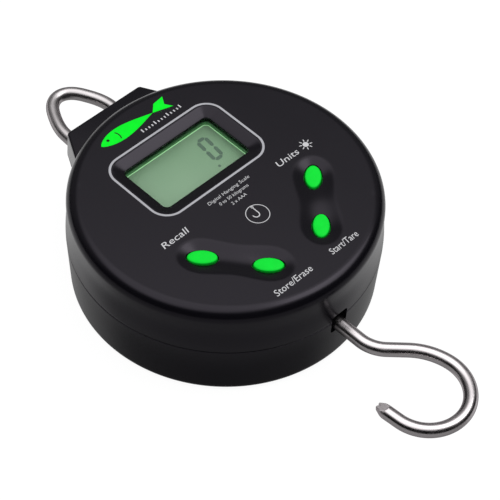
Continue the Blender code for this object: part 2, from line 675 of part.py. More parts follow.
def build_upper_yoke():
    """Block that holds the loop's legs, with a neck towards the load cell."""
    z0, z1 = AXIS_Z - YOKE_HALF_Z, AXIS_Z + YOKE_HALF_Z
    yoke = box("upper_yoke", (-YOKE_HALF_X, 27.2, z0), (YOKE_HALF_X, YOKE_Y1, z1))
    union(yoke, box("yoke_neck", (-NECK_HALF_X, TRAIN_Y0, z0), (NECK_HALF_X, 28.5, z1)))
    cut(yoke, rod_y("yoke_bolt_hole", BOLT_HOLE_RADIUS, 0.0, 15.0, 50.0, 16),
        rod_y("yoke_bolt_sink", BOLT_SINK_RADIUS, 0.0, 38.2, 50.0, 18))
    for sign, side in SIDE.items():
        leg_x = sign * LEG_X
        cut(yoke, rod_y("leg_bore_" + side, LOOP_WIRE_RADIUS + GAP, leg_x, LEG_END_Y - 0.8, 50.0, 20),
            rod_z("leg_pin_bore_" + side, LOOP_PIN_BORE_RADIUS, (leg_x, LOOP_PIN_Y), 5.0, 30.0, 14),
            rod_z("yoke_screw_bore_" + side, YOKE_SCREW_BORE_RADIUS,
                  (sign * YOKE_SCREW_X, YOKE_SCREW_Y), 5.0, 30.0, 14))
    finish(yoke, ZINC)


def build_yoke_fasteners():
    bolt("yoke_bolt", y_head=42.6, head_length=4.1, y_end=12.8)
    for sign, side in SIDE.items():
        finish(rod_z("loop_pin_" + side, LOOP_PIN_RADIUS, (sign * LEG_X, LOOP_PIN_Y),
                     AXIS_Z - 5.4, AXIS_Z + 5.4, 12), ZINC)
        screw("yoke_screw_" + side, (sign * YOKE_SCREW_X, YOKE_SCREW_Y), z_head=25.0,
              head_radius=2.6, head_height=1.7, shank_radius=1.0, z_end=5.0)


def build_hook_clevis():
    """Forked block between load cell and hook, and its bolt."""
    clevis = box("hook_clevis", (-NECK_HALF_X, CLEVIS_END_Y, AXIS_Z - CLEVIS_HALF_Z),
                 (NECK_HALF_X, -TRAIN_Y0, AXIS_Z + CLEVIS_HALF_Z))
    cut(clevis, box("clevis_slot", (-10.0, CLEVIS_END_Y - 2.0, AXIS_Z - CLEVIS_SLOT_HALF_Z),
                    (10.0, CLEVIS_SLOT_Y, AXIS_Z + CLEVIS_SLOT_HALF_Z)),
        rod_z("clevis_pin_bore", HOOK_PIN_BORE_RADIUS, PIVOT, 5.0, 30.0, 18),
        rod_y("clevis_bolt_hole", BOLT_HOLE_RADIUS, 0.0, -15.0, -32.0, 16),
        rod_y("clevis_bolt_sink", BOLT_SINK_RADIUS, 0.0, -24.2, -32.0, 18))
    finish(clevis, ZINC)
    bolt("clevis_bolt", y_head=-28.2, head_length=3.7, y_end=-12.8)


def build_hook_pin():
    """Headed pin with a groove near its rear end, and the open ring clip in the groove."""
    pin = rod_z("hook_pin", HOOK_PIN_RADIUS, PIVOT, 9.6, 23.9, 18)
    union(pin, rod_z("hook_pin_head", 3.0, PIVOT, 23.5, 24.3, 18))
    groove = turned("pin_groove", [(3.2, 11.2), (3.2, 10.2), (1.55, 10.2), (1.55, 11.2)], 18)
    groove.location = (0.0, HOOK_PIVOT_Y * MM, 0.0)
    cut(pin, groove)
    finish(pin, STEEL)
    clip_outline = arc(0.0, 0.0, 3.1, 35, 325, 16) + arc(0.0, 0.0, 1.85, 35, 325, 16)[::-1]
    clip = plate("hook_pin_clip", clip_outline, 10.45, 10.95)
    clip.location.y += HOOK_PIVOT_Y * MM
    finish(clip, STEEL)


# ---------------------------------------------------------------- hook and loop
HOOK_WIRE_RADIUS = 2.3
HOOK_EYE_RADIUS, HOOK_EYE_HALF_Z = 4.5, 2.2
HOOK_START = (0.0, -57.0)
HOOK_BENDS = [                      # length, turn in degrees
    (2.4, 0.0), (9.0, 44.9), (6.45, 0.0), (13.2, -36.35),       # shank, bend, counter-bend
    (15.4, -61.35), (15.8, -66.6), (12.9, -55.8), (4.05, 0.0),  # round bowl, upright leg
]
HOOK_POINT = [(1.6, 0.80), (1.4, 0.52), (0.9, 0.30)]    # length, share of the wire radius

LOOP_HALF = [                       # half width, y; from the top of the arch down one leg
    (0.0, 81.62), (0.95, 81.53), (2.5, 81.02), (3.7, 80.2), (4.6, 79.38),
    (5.4, 78.42), (6.0, 77.5), (6.6, 76.42), (7.1, 75.4), (7.65, 74.4),
    (8.2, 73.15), (8.7, 71.95), (9.1, 70.85), (9.45, 69.65), (9.75, 68.3),
    (9.95, 66.8), (LEG_X, 65.0), (LEG_X, 60.0), (LEG_X, 56.0), (LEG_X, LEG_END_Y),
]
LOOP_LEAN = 0.45                    # shift of the arch to +X
LEAN_Y0, LEAN_LENGTH = 56.0, 9.0    # where the shift begins and over what length it grows


def build_weigh_hook():
    bends = HOOK_BENDS + [(length, 0.0) for length, _ in HOOK_POINT]
    line = [(0.0, HOOK_PIVOT_Y - 1.5), (0.0, -45.0)] + bent_path(HOOK_START, -90.0, bends)
    taper = [1.0] * (len(line) - len(HOOK_POINT)) + [share for _, share in HOOK_POINT]
    hook = wire("weigh_hook", [(x, y, AXIS_Z) for x, y in line], HOOK_WIRE_RADIUS, 3, taper)
    union(hook, rod_z("hook_eye", HOOK_EYE_RADIUS, PIVOT, AXIS_Z - HOOK_EYE_HALF_Z,
                      AXIS_Z + HOOK_EYE_HALF_Z, 24))
    cut(hook, rod_z("hook_eye_bore", HOOK_PIN_BORE_RADIUS, PIVOT, 10.0, 26.0, 18))
    finish(hook, STEEL, parent=hook_pivot)
    set_origin(hook, (*PIVOT, AXIS_Z))


def loop_lean(y):
    """Sideways shift at a height y, easing in and out."""
    share = min(max((y - LEAN_Y0) / LEAN_LENGTH, 0.0), 1.0)
    return LOOP_LEAN * share * share * (3.0 - 2.0 * share)


def build_suspension_loop():
    """Pointed arch; its legs run straight through the lug into the yoke."""
    points = [(loop_lean(y) - x, y, AXIS_Z) for x, y in reversed(LOOP_HALF)]
    points += [(loop_lean(y) + x, y, AXIS_Z) for x, y in LOOP_HALF[1:]]
    loop = wire("suspension_loop", points, LOOP_WIRE_RADIUS, 3)
    for sign in SIDE:
        cut(loop, rod_z("leg_pin_hole_" + SIDE[sign], LOOP_PIN_BORE_RADIUS,
                        (sign * LEG_X, LOOP_PIN_Y), 10.0, 26.0, 14))
    finish(loop, STEEL)


# ---------------------------------------------------------------- display stack
LENS_Z0, LENS_Z1 = 34.5, 35.3
FRAME_Z1 = 34.2
BACKLIGHT_Z1 = 30.6
DISPLAY_LAYERS = (                  # name, half x, y range from the window centre, z range, material
    ("lcd_panel", 20.4, (-13.6, 13.6), (30.9, 32.9), LCD),
    ("backlight_panel", 19.8, (-10.6, 10.6), (ABOVE_BOARD, BACKLIGHT_Z1), BACKLIGHT),
    ("contact_strip_upper", 18.5, (11.2, 13.2), (ABOVE_BOARD, BACKLIGHT_Z1), RUBBER),
    ("contact_strip_lower", 18.5, (-13.2, -11.2), (ABOVE_BOARD, BACKLIGHT_Z1), RUBBER),
)


def build_window_lens():
    outline = rounded_rect(WINDOW_CENTRE_Y, 20.6, 12.6, 2.2, 4)
    finish(plate("window_lens", outline, LENS_Z0, LENS_Z1), ACRYLIC)


def build_lcd_frame():
    frame = plate("lcd_frame", rounded_rect(WINDOW_CENTRE_Y, 22.6, 15.4, 2.0, 3), ABOVE_BOARD,
                  FRAME_Z1)
    cut(frame, box("lcd_frame_cavity", (-20.9, WINDOW_CENTRE_Y - 14.1, 26.0),
                   (20.9, WINDOW_CENTRE_Y + 14.1, 33.2)),
        plate("lcd_frame_opening", rounded_rect(WINDOW_CENTRE_Y, 18.5, 10.5, 1.9, 4), 30.0, 36.0))
    finish(frame, BLACK)


def build_display_layers():
    for name, half_x, (y0, y1), (z0, z1), mat in DISPLAY_LAYERS:
        block(name, (-half_x, WINDOW_CENTRE_Y + y0, z0), (half_x, WINDOW_CENTRE_Y + y1, z1), mat)


# ---------------------------------------------------------------- board and its parts
BOARD_RADIUS, BOARD_CLEARANCE_RADIUS = 39.2, 1.5
BOARD_SCREW_HEAD = 1.2
SWITCH_HALF, SWITCH_Z1, SWITCH_WELL_RADIUS = 3.0, 31.2, 2.0
PLUNGER_RADIUS, PLUNGER_Z0, PLUNGER_Z1 = 1.7, 30.2, 32.2
BUTTON_TOP = 37.95
CAP_PROFILE = [                     # share of the cap's half axes, z
    (0.0, BUTTON_TOP), (0.60, BUTTON_TOP - 0.06), (0.86, BUTTON_TOP - 0.20),    # domed top
    (0.96, BUTTON_TOP - 0.42), (1.0, BUTTON_TOP - 0.9), (1.0, 35.2),            # skirt
    (1.32, 35.2), (1.32, 34.2),                                                 # flange
    (0.46, 34.2), (0.46, 32.5), (0.0, 32.5),                                    # stem
]


def build_main_board():
    board = rod_z("main_board", BOARD_RADIUS, (0.0, 0.0), BOARD_Z0, BOARD_Z1, 48)
    for i, place in enumerate(BOARD_SCREWS, 1):
        cut(board, rod_z(f"board_clear_{i}", BOARD_CLEARANCE_RADIUS, place, 24.0, 30.0, 12))
    finish(board, LAMINATE)
    for i, place in enumerate(BOARD_SCREWS, 1):
        screw(f"board_screw_{i}", place, z_head=BELOW_BOARD - BOARD_SCREW_HEAD, head_radius=2.3,
              head_height=BOARD_SCREW_HEAD, shank_radius=0.9, z_end=33.0)


def build_chips():
    block("controller_chip", (-31.0, 8.0, 24.5), (-21.0, 18.0, BELOW_BOARD), CHIP)
    block("converter_chip", (-24.0, -8.0, 24.6), (-17.0, -3.0, BELOW_BOARD), CHIP)


def build_push_switch(index, x, y):
    switch = box(f"push_switch_{index}", (x - SWITCH_HALF, y - SWITCH_HALF, ABOVE_BOARD),
                 (x + SWITCH_HALF, y + SWITCH_HALF, SWITCH_Z1))
    cut(switch, rod_z(f"switch_well_{index}", SWITCH_WELL_RADIUS, (x, y), 29.0, 34.0, 18))
    finish(switch, BLACK)
    plunger = rod_z(f"switch_plunger_{index}", PLUNGER_RADIUS, (x, y), PLUNGER_Z0, PLUNGER_Z1, 16)
    finish(plunger, RUBBER)
    set_origin(plunger, (x, y, PLUNGER_Z0))


def build_button_cap(name, x, y, angle):
    """Cap turned with unit radius, then stretched to an oval."""
    cap = turned(name, CAP_PROFILE, 20)
    parts.objects.link(cap)
    settle(cap)
    cap.data.transform(Matrix.Diagonal((*BUTTON_HALF, 1.0, 1.0)))
    cap.location = (x * MM, y * MM, 0.0)
    cap.rotation_euler = (0.0, 0.0, math.radians(angle))
    finish(cap, GREEN, sharp_angle=40.0)
    set_origin(cap, (x, y, FACE_Z))


# ---------------------------------------------------------------- wiring
CABLE_RADIUS, LEAD_RADIUS = 0.45, 0.5
CABLE_POINTS = [                    # x, y, z from the front gauge to below the board
    (3.4, 6.6, 24.55), (6.5, 6.6, 24.6), (10.0, 4.0, 24.7),
    (13.0, 0.0, 24.8), (15.0, -4.0, 25.0), (16.0, -7.0, 25.2),
]


def build_battery_lead(name, x, end_x, mat):
    """Lead from the bay up towards the board."""
    points = [(x, LEAD_Y, 12.7), (x, LEAD_Y, 15.5), (x, -23.0, 19.0),
              (end_x + 1.0, -20.0, 22.5), (end_x, -17.0, 24.4), (end_x, -15.5, 25.2)]
    finish(wire(name, points, LEAD_RADIUS, 1), mat)


# ---------------------------------------------------------------- build
build_front_case()
build_rear_case()
build_battery_cover()
build_case_screws()

for number, (battery_x, nub) in enumerate(BATTERIES, 1):
    build_battery(number, battery_x, nub)
    build_battery_spring(number, battery_x, nub)
build_contact_plates()

build_load_cell()
build_strain_gauges()
build_upper_yoke()
build_yoke_fasteners()
build_hook_clevis()
build_hook_pin()
build_weigh_hook()
build_suspension_loop()

build_window_lens()
build_lcd_frame()
build_display_layers()

build_main_board()
build_chips()
for number, (button, (button_x, button_y, button_angle)) in enumerate(BUTTONS.items(), 1):
    build_push_switch(number, button_x, button_y)
    build_button_cap(button, button_x, button_y, button_angle)

finish(wire("load_cell_cable", CABLE_POINTS, CABLE_RADIUS, 1), JACKET)
build_battery_lead("battery_lead_black", BATTERIES[0][0], 16.0, BLACK_WIRE)
build_battery_lead("battery_lead_red", BATTERIES[1][0], 24.0, RED_WIRE)
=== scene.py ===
"""Digital fish scale: a round two-part case with green buttons, a window, a top loop and a hook.

The scale lies on its back on the floor: the face looks up +Z and the rear rests at z = 0. The case's
axis is x = y = 0, the lug and the loop point to +Y, the hook to -Y. The design is worked out in mm;
meshes are written in metres, in the frame of the CAD pieces.
"""

import json
import math

import bmesh
import bpy
import numpy as np
from mathutils import Matrix, Vector


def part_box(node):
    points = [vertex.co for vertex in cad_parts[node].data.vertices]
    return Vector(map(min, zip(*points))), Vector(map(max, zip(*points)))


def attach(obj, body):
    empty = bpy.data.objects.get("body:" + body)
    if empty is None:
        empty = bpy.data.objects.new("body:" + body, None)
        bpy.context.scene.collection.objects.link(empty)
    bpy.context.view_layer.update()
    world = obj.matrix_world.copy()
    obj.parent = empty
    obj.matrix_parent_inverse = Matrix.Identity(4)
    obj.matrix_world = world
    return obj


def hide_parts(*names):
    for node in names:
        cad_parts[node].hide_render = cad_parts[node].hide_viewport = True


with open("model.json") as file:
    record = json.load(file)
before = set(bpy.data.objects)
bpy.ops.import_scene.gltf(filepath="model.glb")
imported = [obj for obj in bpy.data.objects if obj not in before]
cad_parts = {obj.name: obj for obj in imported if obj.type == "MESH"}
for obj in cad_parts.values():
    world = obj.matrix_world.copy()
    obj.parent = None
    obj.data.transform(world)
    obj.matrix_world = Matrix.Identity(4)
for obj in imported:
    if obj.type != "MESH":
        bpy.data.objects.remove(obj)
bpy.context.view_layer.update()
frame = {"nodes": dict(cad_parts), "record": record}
MM = 0.001


# ------------------------------------------------------------------ driving sizes, mm
def cad(node):
    """Low and high corners of a CAD piece, mm."""
    low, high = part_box(node)
    return np.array(low) / MM, np.array(high) / MM


front_lo, front_hi = cad("front_case")
hook_lo, hook_hi = cad("weigh_hook")
lcd_lo, lcd_hi = cad("lcd_panel")
lens_lo, lens_hi = cad("window_lens")

FACE_Z = float(front_hi[2])
FRONT_LOW_Z = float(front_lo[2])               # front half's parting plane
REAR_TOP_Z = float(cad("rear_case")[1][2])     # rear half's parting plane
PARTING_R = 0.5 * float(front_hi[0] - front_lo[0])
WIRE_Z = 0.5 * float(hook_lo[2] + hook_hi[2])  # height of the hook's and the loop's wire
LCD_TOP_Z = float(lcd_hi[2])
BUTTON_TOP_Z = float(cad("power_button")[1][2])

# Case
AROUND = 384                                   # points round the case
FACE_R, RIM_R = 50.0, 4.0                      # upper wall, and rounding between wall and face
BACK_R, BACK_RIM_R = 49.85, 3.0
FLAT_R = FACE_R - RIM_R
SHELL = 2.4                                    # thickness of face and back
PARTING_INNER_R = 48.2
PARTING_EDGE = ((0.0, 0.18), (0.05, 0.06), (0.18, 0.0))    # inset, distance from the parting plane

# Top lug
LUG_Y = float(front_hi[1])
LUG_END = 15.4                                 # half width at the outer end
LUG_FLARE = 0.545                              # half width gained per mm inwards
LUG_LOW_Z, LUG_HIGH_Z = 5.0, 30.0

# Display: half sizes in x and y
DISPLAY_Y, WINDOW_Y = 17.77, 17.9
RECESS, WINDOW = (22.0, 13.9), (18.25, 10.25)
RECESS_CORNER, WINDOW_CORNER = 5.4, 1.9
RECESS_DEPTH, RECESS_LIP = 1.6, 0.9

# Screw posts and holes
POST_CIRCLE_R = 43.2
POSTS = [(POST_CIRCLE_R * math.cos(math.radians(a)), POST_CIRCLE_R * math.sin(math.radians(a)))
         for a in (0, 62, 118, 180, 242, 298)]
BOARD_SCREWS = ((-35.0, 8.0), (35.0, 8.0), (0.0, -35.0))
YOKE_BOSSES = ((-4.9, 33.0), (4.9, 33.0))

# Battery bay and cover
BAY_X0, BAY_X1, BAY_Y = 12.9, 36.4, 24.9       # BAY_Y is the half length
BAY_TOP, BAY_WALL = 13.5, 1.4
COVER_X = 0.5 * (BAY_X0 + BAY_X1)
COVER_SCREW_Y = 28.4
COVER_SCREWS = ((COVER_X, -COVER_SCREW_Y), (COVER_X, COVER_SCREW_Y))

# Buttons: name -> centre x, centre y, turn of the long axis in degrees
BUTTONS = {}
for _name, _turn in (("recall_button", -44.0), ("store_button", -44.0),
                     ("power_button", 44.0), ("unit_button", 44.0)):
    _lo, _hi = cad(_name)
    BUTTONS[_name] = (0.5 * (_lo[0] + _hi[0]), 0.5 * (_lo[1] + _hi[1]), _turn)
BUTTON_LONG, BUTTON_SHORT = 4.75, 2.7          # half axes of the oval
BUTTON_GAP = 0.38

# Wire parts
HOOK_WIRE_R, LOOP_WIRE_R = 2.3, 2.25
LEG_X = 10.0                                   # the loop's legs stand at +-LEG_X
HOOK_EYE_Y = -36.0
TIP = 3.7                                      # length of the hook's ground point
BORE_Z = (10.0, 26.0)                          # cutters across the wire span this height

# Ink on the face
INK_Z, INK_T = FACE_Z + 0.004, 0.02


# ------------------------------------------------------------------ outlines and curves, mm
def smoothstep(t):
    t = np.clip(t, 0.0, 1.0)
    return t * t * (3.0 - 2.0 * t)


def at_height(outline, z):
    return np.array([(x, y, z) for x, y in outline], float)


def arc(x, y, radius, start, end, steps):
    """Points along an arc; angles in degrees."""
    points = []
    for i in range(steps + 1):
        angle = math.radians(start + (end - start) * i / steps)
        points.append((x + radius * math.cos(angle), y + radius * math.sin(angle)))
    return points


def disc(x, y, radius, count=40):
    return [(x + radius * math.cos(a), y + radius * math.sin(a))
            for a in np.linspace(0, 2 * np.pi, count + 1)[:-1]]


def circle(radius, z, count=AROUND, y=0.0):
    angle = 2.0 * np.pi * np.arange(count) / count
    return np.stack([radius * np.cos(angle), y + radius * np.sin(angle),
                     np.full(count, float(z))], -1)


def rounded_outline(y, half_x, half_y, corner, steps):
    """Rounded rectangle centred on (0, y)."""
    points = []
    for sx, sy, start in ((1, 1, 0), (-1, 1, 90), (-1, -1, 180), (1, -1, 270)):
        points += arc(sx * (half_x - corner), y + sy * (half_y - corner), corner,
                      start, start + 90.0, steps)
    return points


def rounded(y, half_x, half_y, corner, z, steps=12):
    return at_height(rounded_outline(y, half_x, half_y, corner, steps), z)


def window_ring(grow, z):
    """The window's outline, grown all round."""
    return rounded(WINDOW_Y, WINDOW[0] + grow, WINDOW[1] + grow, WINDOW_CORNER + grow, z, 8)


def button_ring(place, z, scale=1.0, gap=0.0):
    """A button's oval at a height, scaled or widened by a gap."""
    x, y, turn = place
    angle = 2.0 * np.pi * np.arange(64) / 64
    c, s = math.cos(math.radians(turn)), math.sin(math.radians(turn))
    along = (BUTTON_LONG * scale + gap) * np.cos(angle)
    across = (BUTTON_SHORT * scale + gap) * np.sin(angle)
    return np.stack([x + along * c - across * s, y + along * s + across * c,
                     np.full(64, float(z))], -1)


def left_normals(points):
    """Unit normals to the left of a 2D line."""
    ahead = np.gradient(points, axis=0)
    ahead /= np.linalg.norm(ahead, axis=1)[:, None]
    return np.stack([-ahead[:, 1], ahead[:, 0]], -1)


def distance_along(points):
    return np.concatenate([[0], np.cumsum(np.linalg.norm(np.diff(points, axis=0), axis=1))])


def stroke(points, width):
    """Outline of a line drawn with even width."""
    points = np.array(points, float)
    side = left_normals(points) * width / 2
    return [tuple(p) for p in points + side] + [tuple(p) for p in (points - side)[::-1]]


# ------------------------------------------------------------------ mesh building
def link(obj):
    bpy.context.scene.collection.objects.link(obj)
    return obj


def mesh_object(name, verts, faces):
    """Object from vertices in mm."""
    mesh = bpy.data.meshes.new(name)
    mesh.from_pydata([tuple(v) for v in (np.asarray(verts) * MM)], [], faces)
    mesh.validate()
    return link(bpy.data.objects.new(name, mesh))


def face_outward(obj):
    bm = bmesh.new()
    bm.from_mesh(obj.data)
    bmesh.ops.recalc_face_normals(bm, faces=bm.faces)
    if bm.calc_volume(signed=True) < 0:
        bmesh.ops.reverse_faces(bm, faces=bm.faces)
    bm.to_mesh(obj.data)
    bm.free()
    return obj


def loft(name, rings, closed=False):
    """Skin between rings of equal point count, capped; closed joins the last ring to the first."""
    n = len(rings[0])
    verts = np.concatenate([np.asarray(r, float) for r in rings])
    faces = []
    for k in range(len(rings) if closed else len(rings) - 1):
        a, b = k * n, ((k + 1) % len(rings)) * n
        for i in range(n):
            j = (i + 1) % n
            faces.append((a + i, a + j, b + j, b + i))
    if not closed:
        top = (len(rings) - 1) * n
        faces.append(tuple(range(n - 1, -1, -1)))
        faces.append(tuple(range(top, top + n)))
    return face_outward(mesh_object(name, verts, faces))


def fan_body(name, rings, first_centre, last_centre):
    """Skin between rings, closed at both ends by triangles to a centre point."""
    n = len(rings[0])
    verts = np.concatenate([np.array([first_centre], float)]
                           + [np.asarray(r, float) for r in rings]
                           + [np.array([last_centre], float)])
    faces = [(0, 1 + i, 1 + (i + 1) % n) for i in range(n)]
    for k in range(len(rings) - 1):
        a, b = 1 + k * n, 1 + (k + 1) * n
        for i in range(n):
            j = (i + 1) % n
            faces.append((a + i, b + i, b + j, a + j))
    a, centre = 1 + (len(rings) - 1) * n, len(verts) - 1
    for i in range(n):
        faces.append((a + i, centre, a + (i + 1) % n))
    return face_outward(mesh_object(name, verts, faces))


def box(name, lo, hi):
    corners = ((lo[0], lo[1]), (hi[0], lo[1]), (hi[0], hi[1]), (lo[0], hi[1]))
    return loft(name, [at_height(corners, z) for z in (lo[2], hi[2])])


def rod(name, radius, start, end, sides=32):
    start, end = np.array(start, float), np.array(end, float)
    axis = (end - start) / np.linalg.norm(end - start)
    reference = np.array((0, 0, 1.0)) if abs(axis[2]) < 0.9 else np.array((1.0, 0, 0))
    u = np.cross(reference, axis)
    u /= np.linalg.norm(u)
    v = np.cross(axis, u)
    angle = 2.0 * np.pi * np.arange(sides) / sides
    unit = np.outer(np.cos(angle), u) + np.outer(np.sin(angle), v)
    return loft(name, [start + unit * radius, end + unit * radius])


def upright(name, radius, place, z_low, z_high, sides=32):
    """Rod along z at a place (x, y)."""
    return rod(name, radius, (*place, z_low), (*place, z_high), sides)


def evaluated_mesh(obj):
    bpy.context.view_layer.update()
    depsgraph = bpy.context.evaluated_depsgraph_get()
    return bpy.data.meshes.new_from_object(obj.evaluated_get(depsgraph))


def apply_modifiers(obj):
    mesh = evaluated_mesh(obj)
    obj.modifiers.clear()
    old = obj.data
    obj.data = mesh
    bpy.data.meshes.remove(old)


def is_closed(mesh):
    bm = bmesh.new()
    bm.from_mesh(mesh)
    closed = all(len(edge.link_faces) == 2 for edge in bm.edges)
    bm.free()
    return closed


def boolean(obj, tool, operation):
    """Apply a Boolean and remove the tool; the exact solver runs where the quick one leaves gaps."""
    before = obj.data.copy()
    for solver in ("MANIFOLD", "EXACT"):
        mod = obj.modifiers.new("cut", "BOOLEAN")
        mod.operation = operation
        mod.solver = solver
        mod.object = tool
        apply_modifiers(obj)
        if len(obj.data.polygons) > 0 and is_closed(obj.data):
            break
        if solver == "MANIFOLD":
            obj.data = before
    mesh = tool.data
    bpy.data.objects.remove(tool, do_unlink=True)
    bpy.data.meshes.remove(mesh)


def cut(obj, tool):
    boolean(obj, tool, "DIFFERENCE")


def join(obj, tool):
    boolean(obj, tool, "UNION")


def curve_to_mesh(name, data, z):
    """Welded mesh object from curve or text data, raised by z."""
    source = link(bpy.data.objects.new(name + "_tmp", data))
    mesh = evaluated_mesh(source)
    bpy.data.objects.remove(source, do_unlink=True)
    bm = bmesh.new()
    bm.from_mesh(mesh)
    bmesh.ops.remove_doubles(bm, verts=bm.verts, dist=0.000001)
    bmesh.ops.translate(bm, vec=(0, 0, z * MM), verts=bm.verts)
    bmesh.ops.recalc_face_normals(bm, faces=bm.faces)
    bm.to_mesh(mesh)
    bm.free()
    mesh.name = name
    return link(bpy.data.objects.new(name, mesh))


def flat_mesh(name, outlines, z, thickness):
    """Thin solid from 2D outlines, standing on z; inner outlines become holes."""
    data = bpy.data.curves.new(name, "CURVE")
    data.dimensions = "2D"
    data.fill_mode = "BOTH"
    data.extrude = 0.5 * thickness * MM
    for outline in outlines:
        spline = data.splines.new("POLY")
        spline.points.add(len(outline) - 1)
        for point, (x, y) in zip(spline.points, outline):
            point.co = (x * MM, y * MM, 0.0, 1.0)
        spline.use_cyclic_u = True
    return curve_to_mesh(name, data, z + 0.5 * thickness)


def piece(obj, material, body, slot, *replaced, angle=32.0):
    """Give a piece its material, shading and body, and hide the CAD nodes it replaces.

    Edges sharper than angle (degrees) stay hard; 0 leaves the piece flat shaded.
    """
    obj.data.materials.clear()
    obj.data.materials.append(material)
    for poly in obj.data.polygons:
        poly.material_index = 0
    if angle:
        obj.data.shade_smooth()
        obj.data.set_sharp_from_angle(angle=math.radians(angle))
    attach(obj, body)
    if replaced:
        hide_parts(*replaced)


# ------------------------------------------------------------------ shader node helpers
def rgba(colour, factor=1.0):
    return (*[c * factor for c in colour], 1.0)


def set_inputs(tree, node, inputs):
    """Link sockets and set plain values, by input name or index."""
    for key, value in inputs.items():
        if isinstance(value, bpy.types.NodeSocket):
            tree.links.new(value, node.inputs[key])
        else:
            node.inputs[key].default_value = value


def add_node(tree, kind, inputs=None, **settings):
    node = tree.nodes.new("ShaderNode" + kind)
    for key, value in settings.items():
        setattr(node, key, value)
    set_inputs(tree, node, inputs or {})
    return node


def noise(tree, vector, scale, detail=2.0):
    node = add_node(tree, "TexNoise", {"Vector": vector, "Scale": scale, "Detail": detail})
    return node.outputs["Fac"]


def colour_ramp(tree, factor, low, high, positions=(0.0, 1.0)):
    node = add_node(tree, "ValToRGB", {"Fac": factor})
    for element, position, colour in zip(node.color_ramp.elements, positions, (low, high)):
        element.position = position
        element.color = colour
    return node.outputs["Color"]


def remap(tree, value, span, to=(0.0, 1.0), smooth=False):
    """Map the span of a value onto another range."""
    node = add_node(tree, "MapRange", {"Value": value, "From Min": span[0], "From Max": span[1],
                                       "To Min": to[0], "To Max": to[1]})
    if smooth:
        node.interpolation_type = "SMOOTHSTEP"
    return node.outputs["Result"]


def scalar_math(tree, operation, a, b):
    return add_node(tree, "Math", {0: a, 1: b}, operation=operation).outputs[0]


def vector_math(tree, operation, *values):
    node = add_node(tree, "VectorMath", dict(enumerate(values)), operation=operation)
    return node.outputs["Value" if operation in ("DOT_PRODUCT", "LENGTH") else "Vector"]


def mix(tree, data_type, factor, a, b):
    node = add_node(tree, "Mix", {"Factor": factor, "A": a, "B": b}, data_type=data_type)
    return node.outputs["Result"]


def mix_shader(tree, factor, first, second):
    return add_node(tree, "MixShader", {"Fac": factor, 1: first, 2: second}).outputs["Shader"]


def bump(tree, height, strength, distance):
    node = add_node(tree, "Bump", {"Height": height, "Strength": strength, "Distance": distance})
    return node.outputs["Normal"]


def new_material(name):
    material = bpy.data.materials.new(name)
    material.use_nodes = True
    return material, material.node_tree


# ------------------------------------------------------------------ materials
def surface(name, colour, roughness, metallic=0.0, vary=0.10, vary_scale=60.0, grain=2500.0,
            grain_bump=0.12, grain_depth=0.00002, rough_vary=0.06, specular=0.5,
            specular_tint=None, edge_highlight=0.0, edge_highlight_colour=None, shaded_side_colour=None, emission=0.0):
    """Clouded colour, uneven roughness and a fine grain.

    vary is the colour's spread and vary_scale the cloud's noise scale; grain is the fine noise's
    scale, grain_bump and grain_depth its strength and its depth in metres.
    """
    material, tree = new_material(name)
    coords = add_node(tree, "TexCoord").outputs["Object"]
    cloud = noise(tree, coords, vary_scale, detail=4.0)
    shown = colour_ramp(tree, cloud, rgba(colour, 1.0 - vary), rgba(colour, 1.0 + vary),
                        positions=(0.30, 0.70))
    if edge_highlight:                                   # lighter along convex edges: a painted highlight
        pointiness = add_node(tree, "NewGeometry").outputs["Pointiness"]
        edge = remap(tree, pointiness, span=(0.53, 0.62))
        share = scalar_math(tree, "MULTIPLY", edge, edge_highlight)
        shown = mix(tree, "RGBA", share, shown, rgba(edge_highlight_colour))
    if shaded_side_colour:                            # painted shade: darker colour where the surface turns from +Z
        normal = add_node(tree, "NewGeometry").outputs["Normal"]
        upward = add_node(tree, "SeparateXYZ", {0: normal}).outputs["Z"]
        turn = remap(tree, upward, span=(0.25, 0.82), smooth=True)
        shown = mix(tree, "RGBA", turn, rgba(shaded_side_colour), shown)
    rough = remap(tree, cloud, span=(0.3, 0.7),
                  to=(roughness - rough_vary, roughness + rough_vary))
    fine = noise(tree, coords, grain)
    inputs = {
        "Metallic": metallic, "IOR": 1.46, "Specular IOR Level": specular,
        "Base Color": shown, "Roughness": rough,
        "Normal": bump(tree, fine, strength=grain_bump, distance=grain_depth),
    }
    if specular_tint:
        inputs["Specular Tint"] = rgba(specular_tint)
    if emission:
        inputs["Emission Color"] = shown
        inputs["Emission Strength"] = emission
    set_inputs(tree, tree.nodes["Principled BSDF"], inputs)
    return material


